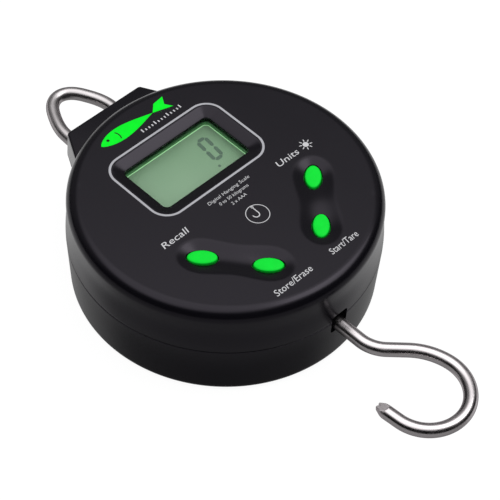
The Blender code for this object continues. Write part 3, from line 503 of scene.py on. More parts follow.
def drawn_wire(name, colour, roughness, ground_from=None):
    """Stainless wire with streaks along it and faint dull patches.

    The 'wire_uv' attribute holds the distance along the wire in mm and the cosine and sine of the
    angle round it. Past ground_from the wire has ground flats of their own roughness.
    """
    material, tree = new_material(name)
    wire_uv = add_node(tree, "Attribute", attribute_name="wire_uv").outputs["Vector"]
    stretched = add_node(tree, "Mapping", {"Vector": wire_uv, "Scale": (0.08, 6.0, 6.0)})
    streak = noise(tree, stretched.outputs["Vector"], scale=1.0, detail=5.0)
    coords = add_node(tree, "TexCoord").outputs["Object"]
    patch = noise(tree, coords, scale=220.0, detail=3.0)
    shown = colour_ramp(tree, streak, rgba(colour, 0.86), rgba(colour, 1.08),
                        positions=(0.25, 0.75))
    rough = remap(tree, patch, span=(0.3, 0.7), to=(roughness - 0.05, roughness + 0.06))
    if ground_from is not None:
        part = add_node(tree, "SeparateXYZ", {0: wire_uv})
        is_ground = scalar_math(tree, "GREATER_THAN", part.outputs["X"], ground_from)
        # The upper flat is coarser than the others.
        flats = remap(tree, part.outputs["Z"], span=(0.66, 0.74), to=(0.36, 0.62))
        rough = mix(tree, "FLOAT", is_ground, rough, flats)
    set_inputs(tree, tree.nodes["Principled BSDF"], {
        "Metallic": 1.0, "Specular Tint": (0.25, 0.24, 0.25, 1.0),
        "Base Color": shown, "Roughness": rough,
        "Normal": bump(tree, streak, strength=0.035, distance=0.00002),
    })
    return material


def clear_window(name):
    """Thin clear acrylic: light passes straight through, the surface mirrors at a slant."""
    material, tree = new_material(name)
    tree.nodes.remove(tree.nodes["Principled BSDF"])
    coords = add_node(tree, "TexCoord").outputs["Object"]
    tint = colour_ramp(tree, noise(tree, coords, scale=90.0),
                       (0.93, 0.97, 0.94, 1.0), (0.97, 0.99, 0.97, 1.0))
    through = add_node(tree, "BsdfTransparent", {"Color": tint}).outputs["BSDF"]
    mirror = add_node(tree, "BsdfGlossy", {"Roughness": 0.05}).outputs["BSDF"]
    fresnel = add_node(tree, "Fresnel", {"IOR": 1.35}).outputs["Fac"]
    # The ray isn't bent, so only the outer side of each surface mirrors.
    backfacing = add_node(tree, "NewGeometry").outputs["Backfacing"]
    outer = scalar_math(tree, "SUBTRACT", 1.0, backfacing)
    share = scalar_math(tree, "MULTIPLY", fresnel, outer)
    set_inputs(tree, tree.nodes["Material Output"],
               {"Surface": mix_shader(tree, share, through, mirror)})
    return material


def ink(name, colour, roughness=0.55, vary=0.05):
    return surface(name, colour, roughness, vary=vary, vary_scale=300.0, grain=6000.0,
                   grain_bump=0.05, specular=0.06)


# Painted highlight: the case's convex edges are lightened.
CASE = surface("case_moulding", colour=(0.0026, 0.0024, 0.0036), roughness=0.22, vary=0.05,
               vary_scale=45.0, grain=3800.0, grain_bump=0.10, grain_depth=0.000012,
               rough_vary=0.02, edge_highlight=0.25, edge_highlight_colour=(0.012, 0.012, 0.015),
               specular=0.275, specular_tint=(0.93, 0.85, 1.0))
# Painted shade: the keys' sides, turned from +Z, take a darker green.
BUTTON = surface("green_keycap", colour=(0.001, 0.64, 0.033), roughness=0.45, vary=0.04,
                 vary_scale=400.0, grain=5200.0, grain_bump=0.05, grain_depth=0.00001,
                 rough_vary=0.05, specular=0.10, shaded_side_colour=(0.001, 0.30, 0.017))
PRINT_GREY = ink("grey_print", colour=(0.36, 0.36, 0.385))
PRINT_WHITE = ink("white_print", colour=(0.50, 0.50, 0.515))
PRINT_GREEN = ink("green_print", colour=(0.001, 0.75, 0.020), roughness=0.5, vary=0.06)
LOOP_STEEL = drawn_wire("stainless_loop_wire", colour=(0.50, 0.475, 0.48), roughness=0.30)
PLATED = surface("zinc_plate", colour=(0.55, 0.56, 0.58), roughness=0.32, metallic=1.0,
                 vary_scale=250.0, grain=1800.0, grain_bump=0.10)
ALUMINIUM = surface("milled_aluminium", colour=(0.66, 0.67, 0.68), roughness=0.36, metallic=1.0,
                    vary=0.06, vary_scale=120.0, grain=900.0, grain_bump=0.15)
LCD = surface("lcd_reflector", colour=(0.212, 0.325, 0.217), roughness=0.30, vary=0.035,
              vary_scale=35.0, grain=5200.0, grain_bump=0.04, rough_vary=0.03)
DIGIT = surface("lcd_segment", colour=(0.074, 0.124, 0.092), roughness=0.35, vary=0.06,
                vary_scale=300.0, grain=5200.0, grain_bump=0.03)
# Painted highlight: a light green band that glows along the display glass's edge.
GLASS_EDGE_HIGHLIGHT = surface("glass_edge_painted_highlight", colour=(0.40, 0.72, 0.40), roughness=0.40, vary=0.06,
                     vary_scale=120.0, emission=0.30)
# Painted reflection in shade: dark green that glows, for the green display mirrored in the opening's
# shaded side.
GLASS_SIDE_REFLECTION = surface("glass_side_painted_reflection", colour=(0.020, 0.115, 0.028), roughness=0.35, vary=0.25,
                     vary_scale=160.0, emission=0.25)
LIGHT_GUIDE = surface("light_guide", colour=(0.62, 0.80, 0.62), roughness=0.30, vary=0.05,
                      grain=900.0)
INNER = surface("inner_plastic", colour=(0.018, 0.018, 0.020), roughness=0.5)
# Painted reflection: the holder's black walls are tinted dark green for the display mirrored in
# them.
WELL_REFLECTION = surface("display_well_painted_reflection", colour=(0.012, 0.055, 0.018), roughness=0.38, vary_scale=120.0)
RUBBER = surface("elastomer", colour=(0.09, 0.09, 0.10), roughness=0.7, grain=1800.0)
BOARD = surface("solder_mask", colour=(0.012, 0.13, 0.04), roughness=0.34, vary=0.18,
                vary_scale=180.0, grain=900.0)
CHIP = surface("chip_epoxy", colour=(0.02, 0.02, 0.022), roughness=0.5)
SLEEVE = surface("cell_sleeve", colour=(0.06, 0.08, 0.22), roughness=0.28, vary=0.08, grain=900.0)
NICKEL = surface("nickel_spring", colour=(0.62, 0.58, 0.52), roughness=0.28, metallic=1.0,
                 vary=0.08, grain=1800.0)
GAUGE = surface("gauge_foil", colour=(0.45, 0.25, 0.10), roughness=0.42, vary=0.12, grain=1800.0)
RED = surface("red_insulation", colour=(0.42, 0.015, 0.015), roughness=0.42, vary=0.08,
              grain=1800.0)
BLACK = surface("black_insulation", colour=(0.015, 0.015, 0.016), roughness=0.45, vary=0.08,
                grain=1800.0)
JACKET = surface("cable_jacket", colour=(0.20, 0.20, 0.21), roughness=0.5, vary=0.08, grain=1800.0)
CLEAR = clear_window("clear_acrylic")

SLOT_MATERIAL = {
    "case_plastic": CASE, "button_green": BUTTON, "stainless_wire": PLATED,
    "plated_steel": PLATED, "load_cell_aluminium": ALUMINIUM, "window_acrylic": CLEAR,
    "lcd_glass": LCD, "backlight_acrylic": LIGHT_GUIDE, "inner_black_plastic": INNER,
    "elastomer": RUBBER, "board_laminate": BOARD, "chip_epoxy": CHIP,
    "battery_sleeve": SLEEVE, "nickel_contact": NICKEL, "gauge_foil": GAUGE,
    "red_insulation": RED, "black_insulation": BLACK, "cable_jacket": JACKET,
}


def dress_cad_pieces():
    """Give every CAD piece the material of its slot."""
    slot_of = {part["node"]: part["material_slot"] for part in frame["record"]["subparts"]}
    for node, obj in frame["nodes"].items():
        obj.data.materials.clear()
        obj.data.materials.append(SLOT_MATERIAL[slot_of[node]])
        obj.data.set_sharp_from_angle(angle=math.radians(35.0))


# ------------------------------------------------------------------ shared case shapes
def lug(name, z_low, z_high, seam_low):
    """One half's top lug: drafted trapezoid prism, hollowed to the case's inner radius."""
    inner_y = 40.0
    corner_size = 0.8
    soft = 0.6                                 # rounding of the edge away from the seam
    seam = z_low if seam_low else z_high

    def outline(inset, z):
        away = abs(z - seam)
        inset = inset + (-0.75 + 0.04 * away if seam_low
                         else -0.75 + 0.11 * away + 0.004 * away ** 2)
        side_inset = inset * 0.9
        inner_half = LUG_END + LUG_FLARE * (LUG_Y - inner_y) - side_inset
        x, y = LUG_END - side_inset, LUG_Y - inset
        slant = math.hypot(LUG_FLARE, 1.0)
        on_side = np.array((x + LUG_FLARE / slant * corner_size, y - corner_size / slant))
        on_end = np.array((x - corner_size, y))
        tip = np.array((x, y))
        corner = [(1 - t) ** 2 * on_side + 2 * t * (1 - t) * tip + t ** 2 * on_end
                  for t in np.linspace(0, 1, 6)]
        points = [(-inner_half, inner_y), (inner_half, inner_y)]
        points += [(p[0], p[1]) for p in corner] + [(-p[0], p[1]) for p in corner[::-1]]
        return at_height(points, z)

    # Edge stations from the end face inwards: inset, distance from the end face
    seam_edge = [(0.12, 0.0), (0.0, 0.12)]
    soft_edge = [(soft * (1 - math.cos(math.radians(a))), soft * (1 - math.sin(math.radians(a))))
                 for a in (90, 67, 45, 22, 0)]
    low, high = (seam_edge, soft_edge) if seam_low else (soft_edge, seam_edge)
    rings = [outline(inset, z_low + dz) for inset, dz in low]
    for t in np.linspace(0, 1, 6)[1:-1]:
        rings.append(outline(0.0, z_low + 0.7 + (z_high - z_low - 1.4) * t))
    rings += [outline(inset, z_high - dz) for inset, dz in reversed(high)]
    obj = loft(name, rings)
    cut(obj, upright(name + "_hollow", 47.9, (0, 0), z_low - 5, z_high + 5, 192))
    return obj


def hook_slot(name):
    """Cutter for the rounded slot through the wall at the -Y end."""
    outline = np.array(rounded_outline(18.8, 3.3, 4.0, 1.2, 6))        # x and z
    return loft(name, [np.stack([outline[:, 0], np.full(len(outline), y), outline[:, 1]], -1)
                       for y in (-46.0, -53.5)])


def leg_channel(name, x, top):
    """Cutter for a loop leg's channel: round below, straight sides up to top."""
    radius = LOOP_WIRE_R + 0.4
    section = [(x + radius * math.cos(a), WIRE_Z + radius * math.sin(a))
               for a in np.radians(np.linspace(180, 360, 25))]
    section += [(x + radius, top), (x - radius, top)]
    return loft(name, [np.array([(px, y, pz) for px, pz in section]) for y in (39.5, 59.5)])


# ------------------------------------------------------------------ front half
def dish_depth(x, y):
    """Depth of the two dished, peanut-shaped button recesses."""
    end_half, waist = 6.6, 0.8                 # half width at a button, narrowing midway
    total = np.zeros_like(x)
    for first, second in (("recall_button", "store_button"), ("unit_button", "power_button")):
        start, end = np.array(BUTTONS[first][:2]), np.array(BUTTONS[second][:2])
        axis = end - start
        length = np.linalg.norm(axis)
        axis = axis / length
        along = (x - start[0]) * axis[0] + (y - start[1]) * axis[1]
        across = -(x - start[0]) * axis[1] + (y - start[1]) * axis[0]
        past = np.maximum(np.maximum(-along, along - length), 0.0)
        middle = smoothstep(1.0 - np.abs(along - length / 2) / (length / 2))
        edge = np.hypot(past * end_half / 8.1, across) / (end_half - waist * middle)
        total = total + (1.50 - 0.55 * middle) * np.clip(1.0 - edge ** 2, 0.0, 1.0) ** 1.4
    return total


def front_wall_radius(z):
    """Upright below the rim, flaring out a little towards the parting line."""
    flare_top = FACE_Z - RIM_R - 3.0
    flare = float(smoothstep(np.array((flare_top - z) / (flare_top - FRONT_LOW_Z - 0.5))))
    return FACE_R + (PARTING_R - FACE_R) * flare


def front_shell():
    rings = []
    for radius in np.concatenate([np.arange(0.6, FLAT_R - 0.1, 0.55), [FLAT_R]]):
        ring = circle(radius, FACE_Z)
        ring[:, 2] -= dish_depth(ring[:, 0], ring[:, 1])
        rings.append(ring)
    wall_top = FACE_Z - RIM_R
    for a in np.radians(np.linspace(0, 90, 16)[1:]):
        rings.append(circle(FLAT_R + RIM_R * math.sin(a), wall_top + RIM_R * math.cos(a)))
    for t in np.linspace(0, 1, 26)[1:-1]:
        z = wall_top + (FRONT_LOW_Z + PARTING_EDGE[0][1] - wall_top) * t
        rings.append(circle(front_wall_radius(z), z))
    for inset, dz in PARTING_EDGE:
        rings.append(circle(PARTING_R - inset, FRONT_LOW_Z + dz))
    inner_z = FACE_Z - SHELL
    for radius, z in ((PARTING_INNER_R, FRONT_LOW_Z), (47.5, FACE_Z - 3.6), (46.6, inner_z),
                      (30.0, inner_z), (6.0, inner_z)):
        rings.append(circle(radius, z))
    return fan_body("front_case_shell", rings, (0, 0, FACE_Z), (0, 0, inner_z))


def recess_ring(f, z, extra=0.0):
    """Outline between the window opening (f = 0) and the recess's upper edge (f = 1)."""
    return rounded(WINDOW_Y + (DISPLAY_Y - WINDOW_Y) * f,
                   WINDOW[0] + (RECESS[0] - WINDOW[0]) * f + extra,
                   WINDOW[1] + (RECESS[1] - WINDOW[1]) * f + extra,
                   WINDOW_CORNER + (RECESS_CORNER - WINDOW_CORNER) * f + extra, z)


def recess_cutter():
    """Softened lip, straight slope, then the window opening with its own soft edge."""
    slope = math.atan2(RECESS_DEPTH, RECESS[0] - WINDOW[0])
    run = RECESS_LIP * math.tan(slope / 2)
    rings = [recess_ring(1.0, FACE_Z + dz, run + 0.02) for dz in (0.5, 0.001)]
    for a in np.linspace(0, slope, 5)[1:]:
        rings.append(recess_ring(1.0, FACE_Z - RECESS_LIP * (1 - math.cos(a)),
                                 run - RECESS_LIP * math.sin(a)))
    for f in (0.75, 0.5, 0.25):
        rings.append(recess_ring(f, FACE_Z - RECESS_DEPTH * (1 - f)))
    for f, dz in ((0.045, 0.05), (0.01, -0.03), (0.0, -0.14)):
        rings.append(recess_ring(f, FACE_Z - RECESS_DEPTH + dz))
    rings.append(recess_ring(0.0, FACE_Z - 4.5))
    return loft("recess_cutter", rings)


def build_front_case():
    front = front_shell()
    join(front, lug("lug_front", FRONT_LOW_Z, LUG_HIGH_Z, seam_low=True))
    cut(front, recess_cutter())
    for name, place in BUTTONS.items():
        cut(front, loft("hole_" + name, [button_ring(place, z, gap=BUTTON_GAP)
                                         for z in (FACE_Z - 5.0, FACE_Z + 2.0)]))
    cut(front, hook_slot("slot_front"))
    for side in (-1, 1):
        cut(front, leg_channel("channel_front", side * LEG_X, top=20.9))
    for place in POSTS:
        join(front, upright("boss", 3.2, place, FRONT_LOW_Z + 0.3, FACE_Z - 1.6, 28))
        cut(front, upright("boss_hole", 1.45, place, 19.0, 32.0, 20))
    for place in BOARD_SCREWS:
        join(front, upright("boss", 2.6, place, 28.1, FACE_Z - 1.9, 24))
        cut(front, upright("boss_hole", 1.2, place, 26.0, 34.0, 16))
    piece(front, CASE, "case", "case_plastic", "front_case", angle=28.0)


# ------------------------------------------------------------------ rear half and battery cover
def rear_shell():
    rings = [circle(radius, 0.0) for radius in (6.0, 25.0, 44.0)]
    for a in np.radians(np.linspace(-90, -3, 12)):
        rings.append(circle(BACK_R - BACK_RIM_R + BACK_RIM_R * math.cos(a),
                            BACK_RIM_R + BACK_RIM_R * math.sin(a)))
    for t in np.linspace(0, 1, 26)[1:-1]:
        z = BACK_RIM_R + (REAR_TOP_Z - PARTING_EDGE[0][1] - BACK_RIM_R) * t
        rise = (z - BACK_RIM_R) / (REAR_TOP_Z - BACK_RIM_R)
        rings.append(circle(BACK_R + (PARTING_R - BACK_R) * rise, z))
    for inset, dz in PARTING_EDGE:
        rings.append(circle(PARTING_R - inset, REAR_TOP_Z - dz))
    for radius, z in ((PARTING_INNER_R, REAR_TOP_Z), (46.2, 3.4), (45.2, SHELL),
                      (30.0, SHELL), (6.0, SHELL)):
        rings.append(circle(radius, z))
    return fan_body("rear_case_shell", rings, (0, 0, 0.0), (0, 0, SHELL))


def cover_ring(grow, z):
    """The battery cover's outline: rounded rectangle with a round ear at each screw."""
    half_x = 0.5 * (BAY_X1 - BAY_X0) + 0.7 + grow
    half_y = BAY_Y + 0.7 + grow
    ear, corner = 4.3 + grow, 2.0 + grow
    neck_y = half_y - 0.25                     # where the ear leaves the rectangle
    reach = math.sqrt(ear * ear - (COVER_SCREW_Y - neck_y) ** 2)
    start = math.degrees(math.atan2(neck_y - COVER_SCREW_Y, reach))
    ear_arc = arc(0.0, COVER_SCREW_Y, ear, start, 180.0 - start, 30)
    corner_x, corner_y = half_x - corner, half_y - corner
    points = arc(corner_x, corner_y, corner, 0, 90, 8)
    points += ear_arc
    points += arc(-corner_x, corner_y, corner, 90, 180, 8)
    points += arc(-corner_x, -corner_y, corner, 180, 270, 8)
    points += [(-x, -y) for x, y in ear_arc]
    points += arc(corner_x, -corner_y, corner, 270, 360, 8)
    return at_height([(COVER_X + x, y) for x, y in points], z)


def build_rear_case():
    rear = rear_shell()
    join(rear, lug("lug_rear", LUG_LOW_Z, REAR_TOP_Z, seam_low=False))
    for place in POSTS:
        join(rear, upright("post", 3.9, place, 1.0, REAR_TOP_Z - 0.02))
    join(rear, box("bay_walls", (BAY_X0 - BAY_WALL, -BAY_Y - BAY_WALL, 1.0),
                   (BAY_X1 + BAY_WALL, BAY_Y + BAY_WALL, BAY_TOP + BAY_WALL)))
    for cover_screw, yoke_boss in zip(COVER_SCREWS, YOKE_BOSSES):
        join(rear, upright("cover_boss", 3.3, cover_screw, 1.0, 9.5, 28))
        join(rear, upright("yoke_boss", 2.9, yoke_boss, 1.0, 11.2, 28))
    cut(rear, box("bay", (BAY_X0, -BAY_Y, -1.0), (BAY_X1, BAY_Y, BAY_TOP)))
    cut(rear, loft("rebate", [cover_ring(0.3, z) for z in (-1.0, 2.1)]))
    for cover_screw, yoke_boss in zip(COVER_SCREWS, YOKE_BOSSES):
        cut(rear, upright("cover_hole", 1.2, cover_screw, -1.0, 8.0, 20))
        cut(rear, upright("yoke_hole", 1.2, yoke_boss, 4.0, 16.0, 20))
    for place in POSTS:
        cut(rear, upright("head_recess", 2.9, place, -1.0, 6.0))
        cut(rear, upright("shank_hole", 1.6, place, 5.0, 22.0, 20))
    for x in (18.9, 30.4):
        cut(rear, upright("lead_hole", 1.0, (x, -23.6), BAY_TOP - 1.0, BAY_TOP + 3.0, 16))
    cut(rear, hook_slot("slot_rear"))
    for side in (-1, 1):
        cut(rear, leg_channel("channel_rear", side * LEG_X, top=21.5))
    piece(rear, CASE, "case", "case_plastic", "rear_case", angle=28.0)


def build_battery_cover():
    """Cover with a softened outer edge, sunk screw seats and finger grooves."""
    stations = ((-0.25, 0.0), (-0.07, 0.07), (0.0, 0.25), (0.0, 1.8))      # growth, z
    cover = loft("battery_cover_shell", [cover_ring(grow, z) for grow, z in stations])
    for place in COVER_SCREWS:
        cut(cover, upright("clear", 1.7, place, -1.0, 3.0, 24))
        cut(cover, upright("sink", 2.9, place, -1.0, 0.9, 36))
    for i in range(7):
        y = -6.0 + 2.0 * i
        cut(cover, rod("groove", 0.55, (COVER_X - 6.0, y, -0.1), (COVER_X + 6.0, y, -0.1), 24))
    piece(cover, CASE, "battery_cover", "case_plastic", "battery_cover")


# ------------------------------------------------------------------ hook and loop
def bent_path(start, heading, bends, step=0.35):
    """Points along a line of even bends; bends lists (length in mm, turn in degrees)."""
    x, y = start
    heading = math.radians(heading)
    points = [(x, y)]
    for length, turn in bends:
        n = max(2, int(math.ceil(length / step)))
        for _ in range(n):
            heading += math.radians(turn) / n / 2
            x += length / n * math.cos(heading)
            y += length / n * math.sin(heading)
            heading += math.radians(turn) / n / 2
            points.append((x, y))
    return points


def sweep(name, points, radius, sides=48, shape=None):
    """Wire along points in the plane z = WIRE_Z, with its 'wire_uv' attribute.

    shape(distance to the end, cosines, sines, radii) gives the radii round one ring.
    """
    points = np.array(points, float)
    normal = left_normals(points)
    angle = 2.0 * np.pi * np.arange(sides) / sides
    c, s = np.cos(angle), np.sin(angle)
    along = distance_along(points)
    rings = []
    for i, (x, y) in enumerate(points):
        radii = np.full(sides, radius)
        if shape is not None:
            radii = shape(along[-1] - along[i], c, s, radii)
        rings.append(np.stack([x + radii * c * normal[i, 0], y + radii * c * normal[i, 1],
                               WIRE_Z + radii * s], -1))
    obj = loft(name, rings)
    wire_uv = np.zeros((len(points) * sides, 3), np.float32)
    wire_uv[:, 0] = np.repeat(along, sides)
    wire_uv[:, 1] = np.tile(c, len(points))
    wire_uv[:, 2] = np.tile(s, len(points))
    attribute = obj.data.attributes.new("wire_uv", "FLOAT_VECTOR", "POINT")
    attribute.data.foreach_set("vector", wire_uv.ravel())
    return obj


def ground_point(distance, c, s, radii):
    """Four flats ground to a blunt point; they meet the round wire in scallops."""
    if distance > TIP + 0.6:
        return radii
    end_half = 0.93                            # half width of the blunt end
    half = end_half + (HOOK_WIRE_R - end_half) * min(1.0, max(0.0, distance / TIP))
    turn_c, turn_s = math.cos(math.radians(8)), math.sin(math.radians(8))
    u, v = c * turn_c - s * turn_s, c * turn_s + s * turn_c
    return np.minimum(radii, half / np.maximum(np.abs(u), np.abs(v)))


def tip_notch(end, direction):
    """Cutter for the small V notch in the end of the point."""
    forward = np.array((*direction, 0.0))
    across = np.array((-direction[1], direction[0], 0.0))
    up = np.array((0.0, 0.0, 1.0))
    foot = np.array((*end, WIRE_Z)) + across * 0.05
    return loft("notch", [np.array([foot + forward * 0.6 + across * 0.62 + up * w,
                                    foot + forward * 0.6 - across * 0.62 + up * w,
                                    foot - forward * 1.25 + up * w]) for w in (-3.0, 3.0)])


HOOK_SHANK_END = -57.0
HOOK_BENDS = (                                 # length in mm, turn in degrees (left positive)
    (2.4, 0.0), (9.0, 44.9), (6.45, 0.0), (13.2, -36.35), (15.4, -61.35),
    (15.8, -66.6), (12.9, -55.8), (4.3, 0.0),
)
HOOK_EYE = (                                   # radius, height from the wire's centre
    (3.9, -2.2), (4.4, -2.05), (4.5, -1.7), (4.5, 1.7), (4.4, 2.05), (3.9, 2.2),
)


def build_hook():
    line = [(0.0, y) for y in np.arange(HOOK_EYE_Y - 1.5, HOOK_SHANK_END, -1.0)]
    line += bent_path((0.0, HOOK_SHANK_END), -90.0, HOOK_BENDS)
    last, previous = np.array(line[-1]), np.array(line[-2])
    direction = (last - previous) / np.linalg.norm(last - previous)
    line += [tuple(last + direction * (TIP * k / 44.0)) for k in range(1, 45)]
    hook = sweep("weigh_hook_wire", line, HOOK_WIRE_R, 96, ground_point)
    cut(hook, tip_notch(last + direction * TIP, direction))
    join(hook, loft("eye", [circle(radius, WIRE_Z + dz, 64, HOOK_EYE_Y)
                            for radius, dz in HOOK_EYE]))
    cut(hook, upright("eye_bore", 2.3, (0.0, HOOK_EYE_Y), *BORE_Z, 48))
    steel = drawn_wire("stainless_wire_point", colour=(0.57, 0.535, 0.545), roughness=0.24,
                       ground_from=float(distance_along(np.array(line))[-1]) - TIP + 0.25)
    piece(hook, steel, "weigh_hook", "stainless_wire", "weigh_hook", angle=24.0)


LOOP_HALF = np.array([                         # x, y of the loop's +X half, crown to leg end
    (0.0, 81.62), (0.95, 81.53), (2.5, 81.02), (3.7, 80.2), (4.6, 79.38),
    (5.4, 78.42), (6.0, 77.5), (6.6, 76.42), (7.1, 75.4), (7.65, 74.4),
    (8.2, 73.15), (8.7, 71.95), (9.1, 70.85), (9.45, 69.65), (9.75, 68.3),
    (9.95, 66.8), (LEG_X, 65.0), (LEG_X, 60.0), (LEG_X, 56.0), (LEG_X, 30.0),
])


def even_line(points, passes=2, step=0.4):
    """Even, smoothed resampling of a line."""
    points = np.asarray(points, float)
    for _ in range(passes):
        along = distance_along(points)
        t = np.linspace(0, along[-1], max(4, int(along[-1] / step)))
        points = np.stack([np.interp(t, along, points[:, axis]) for axis in (0, 1)], -1)
        for _ in range(6):
            points[1:-1] = 0.25 * points[:-2] + 0.5 * points[1:-1] + 0.25 * points[2:]
    return points


def build_loop():
    x, y = LOOP_HALF[:, 0], LOOP_HALF[:, 1]
    lean = 0.45 * smoothstep((y - 56.0) / 9.0)                     # the crown leans to +X
    line = np.concatenate([np.stack([lean - x, y], -1)[::-1], np.stack([lean + x, y], -1)[1:]])
    loop = sweep("suspension_loop_wire", even_line(line), LOOP_WIRE_R)
    for side in (-1, 1):
        cut(loop, upright("pin_hole", 1.3, (side * LEG_X, 35.5), *BORE_Z, 24))
    piece(loop, LOOP_STEEL, "case", "stainless_wire", "suspension_loop", angle=24.0)


# ------------------------------------------------------------------ buttons
CAP_PROFILE = (                                # share of the full oval, depth below the top
    (0.02, 0.0), (0.3, 0.015), (0.5, 0.045), (0.66, 0.10), (0.78, 0.18), (0.86, 0.28),
    (0.91, 0.38), (0.945, 0.50), (0.97, 0.66), (0.985, 0.84), (0.995, 1.10), (1.0, 1.4),
)
CAP_FOOT = (                                   # share of the full oval, z: cap, flange, stem
    (1.0, 35.2), (1.32, 35.2), (1.32, 34.2), (0.46, 34.2), (0.46, 32.5),
)


def build_buttons():
    for name, place in BUTTONS.items():
        rings = [button_ring(place, BUTTON_TOP_Z - depth, scale) for scale, depth in CAP_PROFILE]
        rings += [button_ring(place, z, scale) for scale, z in CAP_FOOT]
        piece(loft(name + "_cap", rings), BUTTON, name, "button_green", name, angle=40.0)


# ------------------------------------------------------------------ window and display
def build_window():
    stations = ((0.15, lens_lo[2]), (0.0, lens_lo[2] + 0.15),              # inset, z
                (0.0, lens_hi[2] - 0.15), (0.15, lens_hi[2]))
    pane = loft("window_pane", [rounded(WINDOW_Y, 20.6 - inset, 12.6 - inset, 2.2 - inset, z, 8)
                                for inset, z in stations])
    piece(pane, CLEAR, "case", "window_acrylic", "window_lens", angle=30.0)


def build_lcd_panel():
    panel = box("lcd_glass_pane", lcd_lo, lcd_hi)
    bevel = panel.modifiers.new("bevel", "BEVEL")
    bevel.width = 0.2 * MM
    bevel.segments = 2
    bevel.limit_method = "ANGLE"
    apply_modifiers(panel)
    piece(panel, LCD, "case", "lcd_glass", "lcd_panel", angle=30.0)


def build_lcd_holder():
    """Frame round the display: outer block, pocket for the glass, opening with a wider top."""
    holder = loft("lcd_holder", [rounded(WINDOW_Y, 22.6 - inset, 15.4 - inset, 2.0 - inset, z, 6)
                                 for inset, z in ((0.0, 28.1), (0.0, 33.9), (0.3, 34.2))])
    cut(holder, box("pocket", (-20.9, WINDOW_Y - 14.1, 26.0), (20.9, WINDOW_Y + 14.1, 33.2)))
    opening = [rounded(WINDOW_Y, 18.5 + grow, 10.5 + grow, 1.9 + grow, z, 8)
               for grow, z in ((0.0, 30.0), (0.0, 34.0), (0.3, 34.4))]
    cut(holder, loft("opening", opening))
    piece(holder, WELL_REFLECTION, "case", "inner_black_plastic", "lcd_frame")


def glass_ring(name, material, outer, inner, z_low, z_high):
    """Ring round the window's outline; outer and inner are growths of that outline."""
    corners = ((outer, z_low), (outer, z_high), (inner, z_high), (inner, z_low))
    ring = loft(name, [window_ring(grow, z) for grow, z in corners], closed=True)
    piece(ring, material, "case", "lcd_glass", angle=30.0)


DIGIT_X, DIGIT_Y = 11.4, 19.15
DIGIT_WIDTH, DIGIT_HEIGHT = 3.3, 9.5           # between the bars' centre lines
BAR_WIDTH, BAR_GAP = 1.32, 0.12
DIGIT_SLANT = math.tan(math.radians(6.0))


def digit_bar(x0, y0, x1, y1):
    """One bar with pointed ends, slanted with the digit; its ends are given from the centre."""
    length = math.hypot(x1 - x0, y1 - y0)
    dx, dy = (x1 - x0) / length, (y1 - y0) / length
    half = BAR_WIDTH / 2
    back = BAR_GAP + half
    px, py = -dy * half, dx * half
    points = (
        (x0 + dx * BAR_GAP, y0 + dy * BAR_GAP),
        (x0 + dx * back + px, y0 + dy * back + py),
        (x1 - dx * back + px, y1 - dy * back + py),
        (x1 - dx * BAR_GAP, y1 - dy * BAR_GAP),
        (x1 - dx * back - px, y1 - dy * back - py),
        (x0 + dx * back - px, y0 + dy * back - py),
    )
    return [(DIGIT_X + x + y * DIGIT_SLANT, DIGIT_Y + y) for x, y in points]


def build_digits():
    """A seven-segment zero and the point to its left."""
    w, h = DIGIT_WIDTH / 2, DIGIT_HEIGHT / 2
    zero = [digit_bar(*ends) for ends in (
        (-w, h, w, h), (w, h, w, 0), (w, 0, w, -h),
        (-w, -h, w, -h), (-w, 0, -w, -h), (-w, h, -w, 0))]
    for name, outlines in (("display_zero", zero), ("display_point", [disc(8.5, 11.7, 0.5, 16)])):
        piece(flat_mesh(name, outlines, LCD_TOP_Z + 0.02, 0.03), DIGIT, "case", "lcd_glass",
              angle=0)


# ------------------------------------------------------------------ print on the face
def print_band(name, material, outer, inner):
    """Ink between two outlines of equal point count."""
    top = INK_Z + INK_T
    rings = [at_height(outline, z) for outline, z in
             ((outer, INK_Z), (outer, top), (inner, top), (inner, INK_Z))]
    piece(loft(name, rings, closed=True), material, "case", "case_plastic", angle=30.0)


def print_shape(name, outlines, material=PRINT_WHITE):
    piece(flat_mesh(name, outlines, INK_Z, INK_T), material, "case", "case_plastic", angle=0)


def build_display_border():
    outer, inner = (rounded_outline(DISPLAY_Y, half_x, half_y, corner, 14) for
                    half_x, half_y, corner in ((23.35, 15.20, 6.75), (22.60, 14.45, 6.00)))
    print_band("display_border_print", PRINT_GREY, outer, inner)


FONT_CAP = 0.73                                # cap height of the font at size 1
LABEL, NOTE = (2.5, 0.001), (1.30, -0.004)     # cap height, outline offset of the strokes
LEGENDS = (                                    # name, text, centre x, centre y, width, style
    ("legend_recall", "Recall", -25.3, -3.6, 10.6, LABEL),
    ("legend_store", "Store/Erase", -10.9, -39.85, 15.3, LABEL),
    ("legend_power", "Start/Tare", 11.0, -39.85, 11.6, LABEL),
    ("legend_unit", "Units", 23.3, -3.6, 9.2, LABEL),
    ("legend_line_1", "Digital Hanging Scale", 0.1, -0.75, 17.6, NOTE),
    ("legend_line_2", "0 to 50 kilograms", 0.1, -3.15, 12.2, NOTE),
    ("legend_line_3", "2 x AAA", 0.0, -5.5, 6.2, NOTE),
)


def build_legend(name, body, x, y, width, style):
    """Lettering as thin solid strokes, scaled to its cap height and overall width."""
    cap_height, offset = style
    data = bpy.data.curves.new(name, "FONT")
    data.body = body
    data.size = 1.0
    data.shear = 0.16
    data.offset = offset
    data.resolution_u = 3
    data.extrude = 0.5
    obj = curve_to_mesh(name, data, 0.0)
    xs = np.array([v.co for v in obj.data.vertices])[:, 0]
    low, high = xs.min(), xs.max()
    scale = Matrix.Diagonal((width * MM / (high - low), cap_height * MM / FONT_CAP,
                             INK_T * MM, 1.0))
    obj.data.transform(Matrix.Translation((x * MM, y * MM, (INK_Z + INK_T / 2) * MM)) @ scale
                       @ Matrix.Translation((-(low + high) / 2, -FONT_CAP / 2, 0.0)))
    piece(obj, PRINT_WHITE, "case", "case_plastic", angle=0)


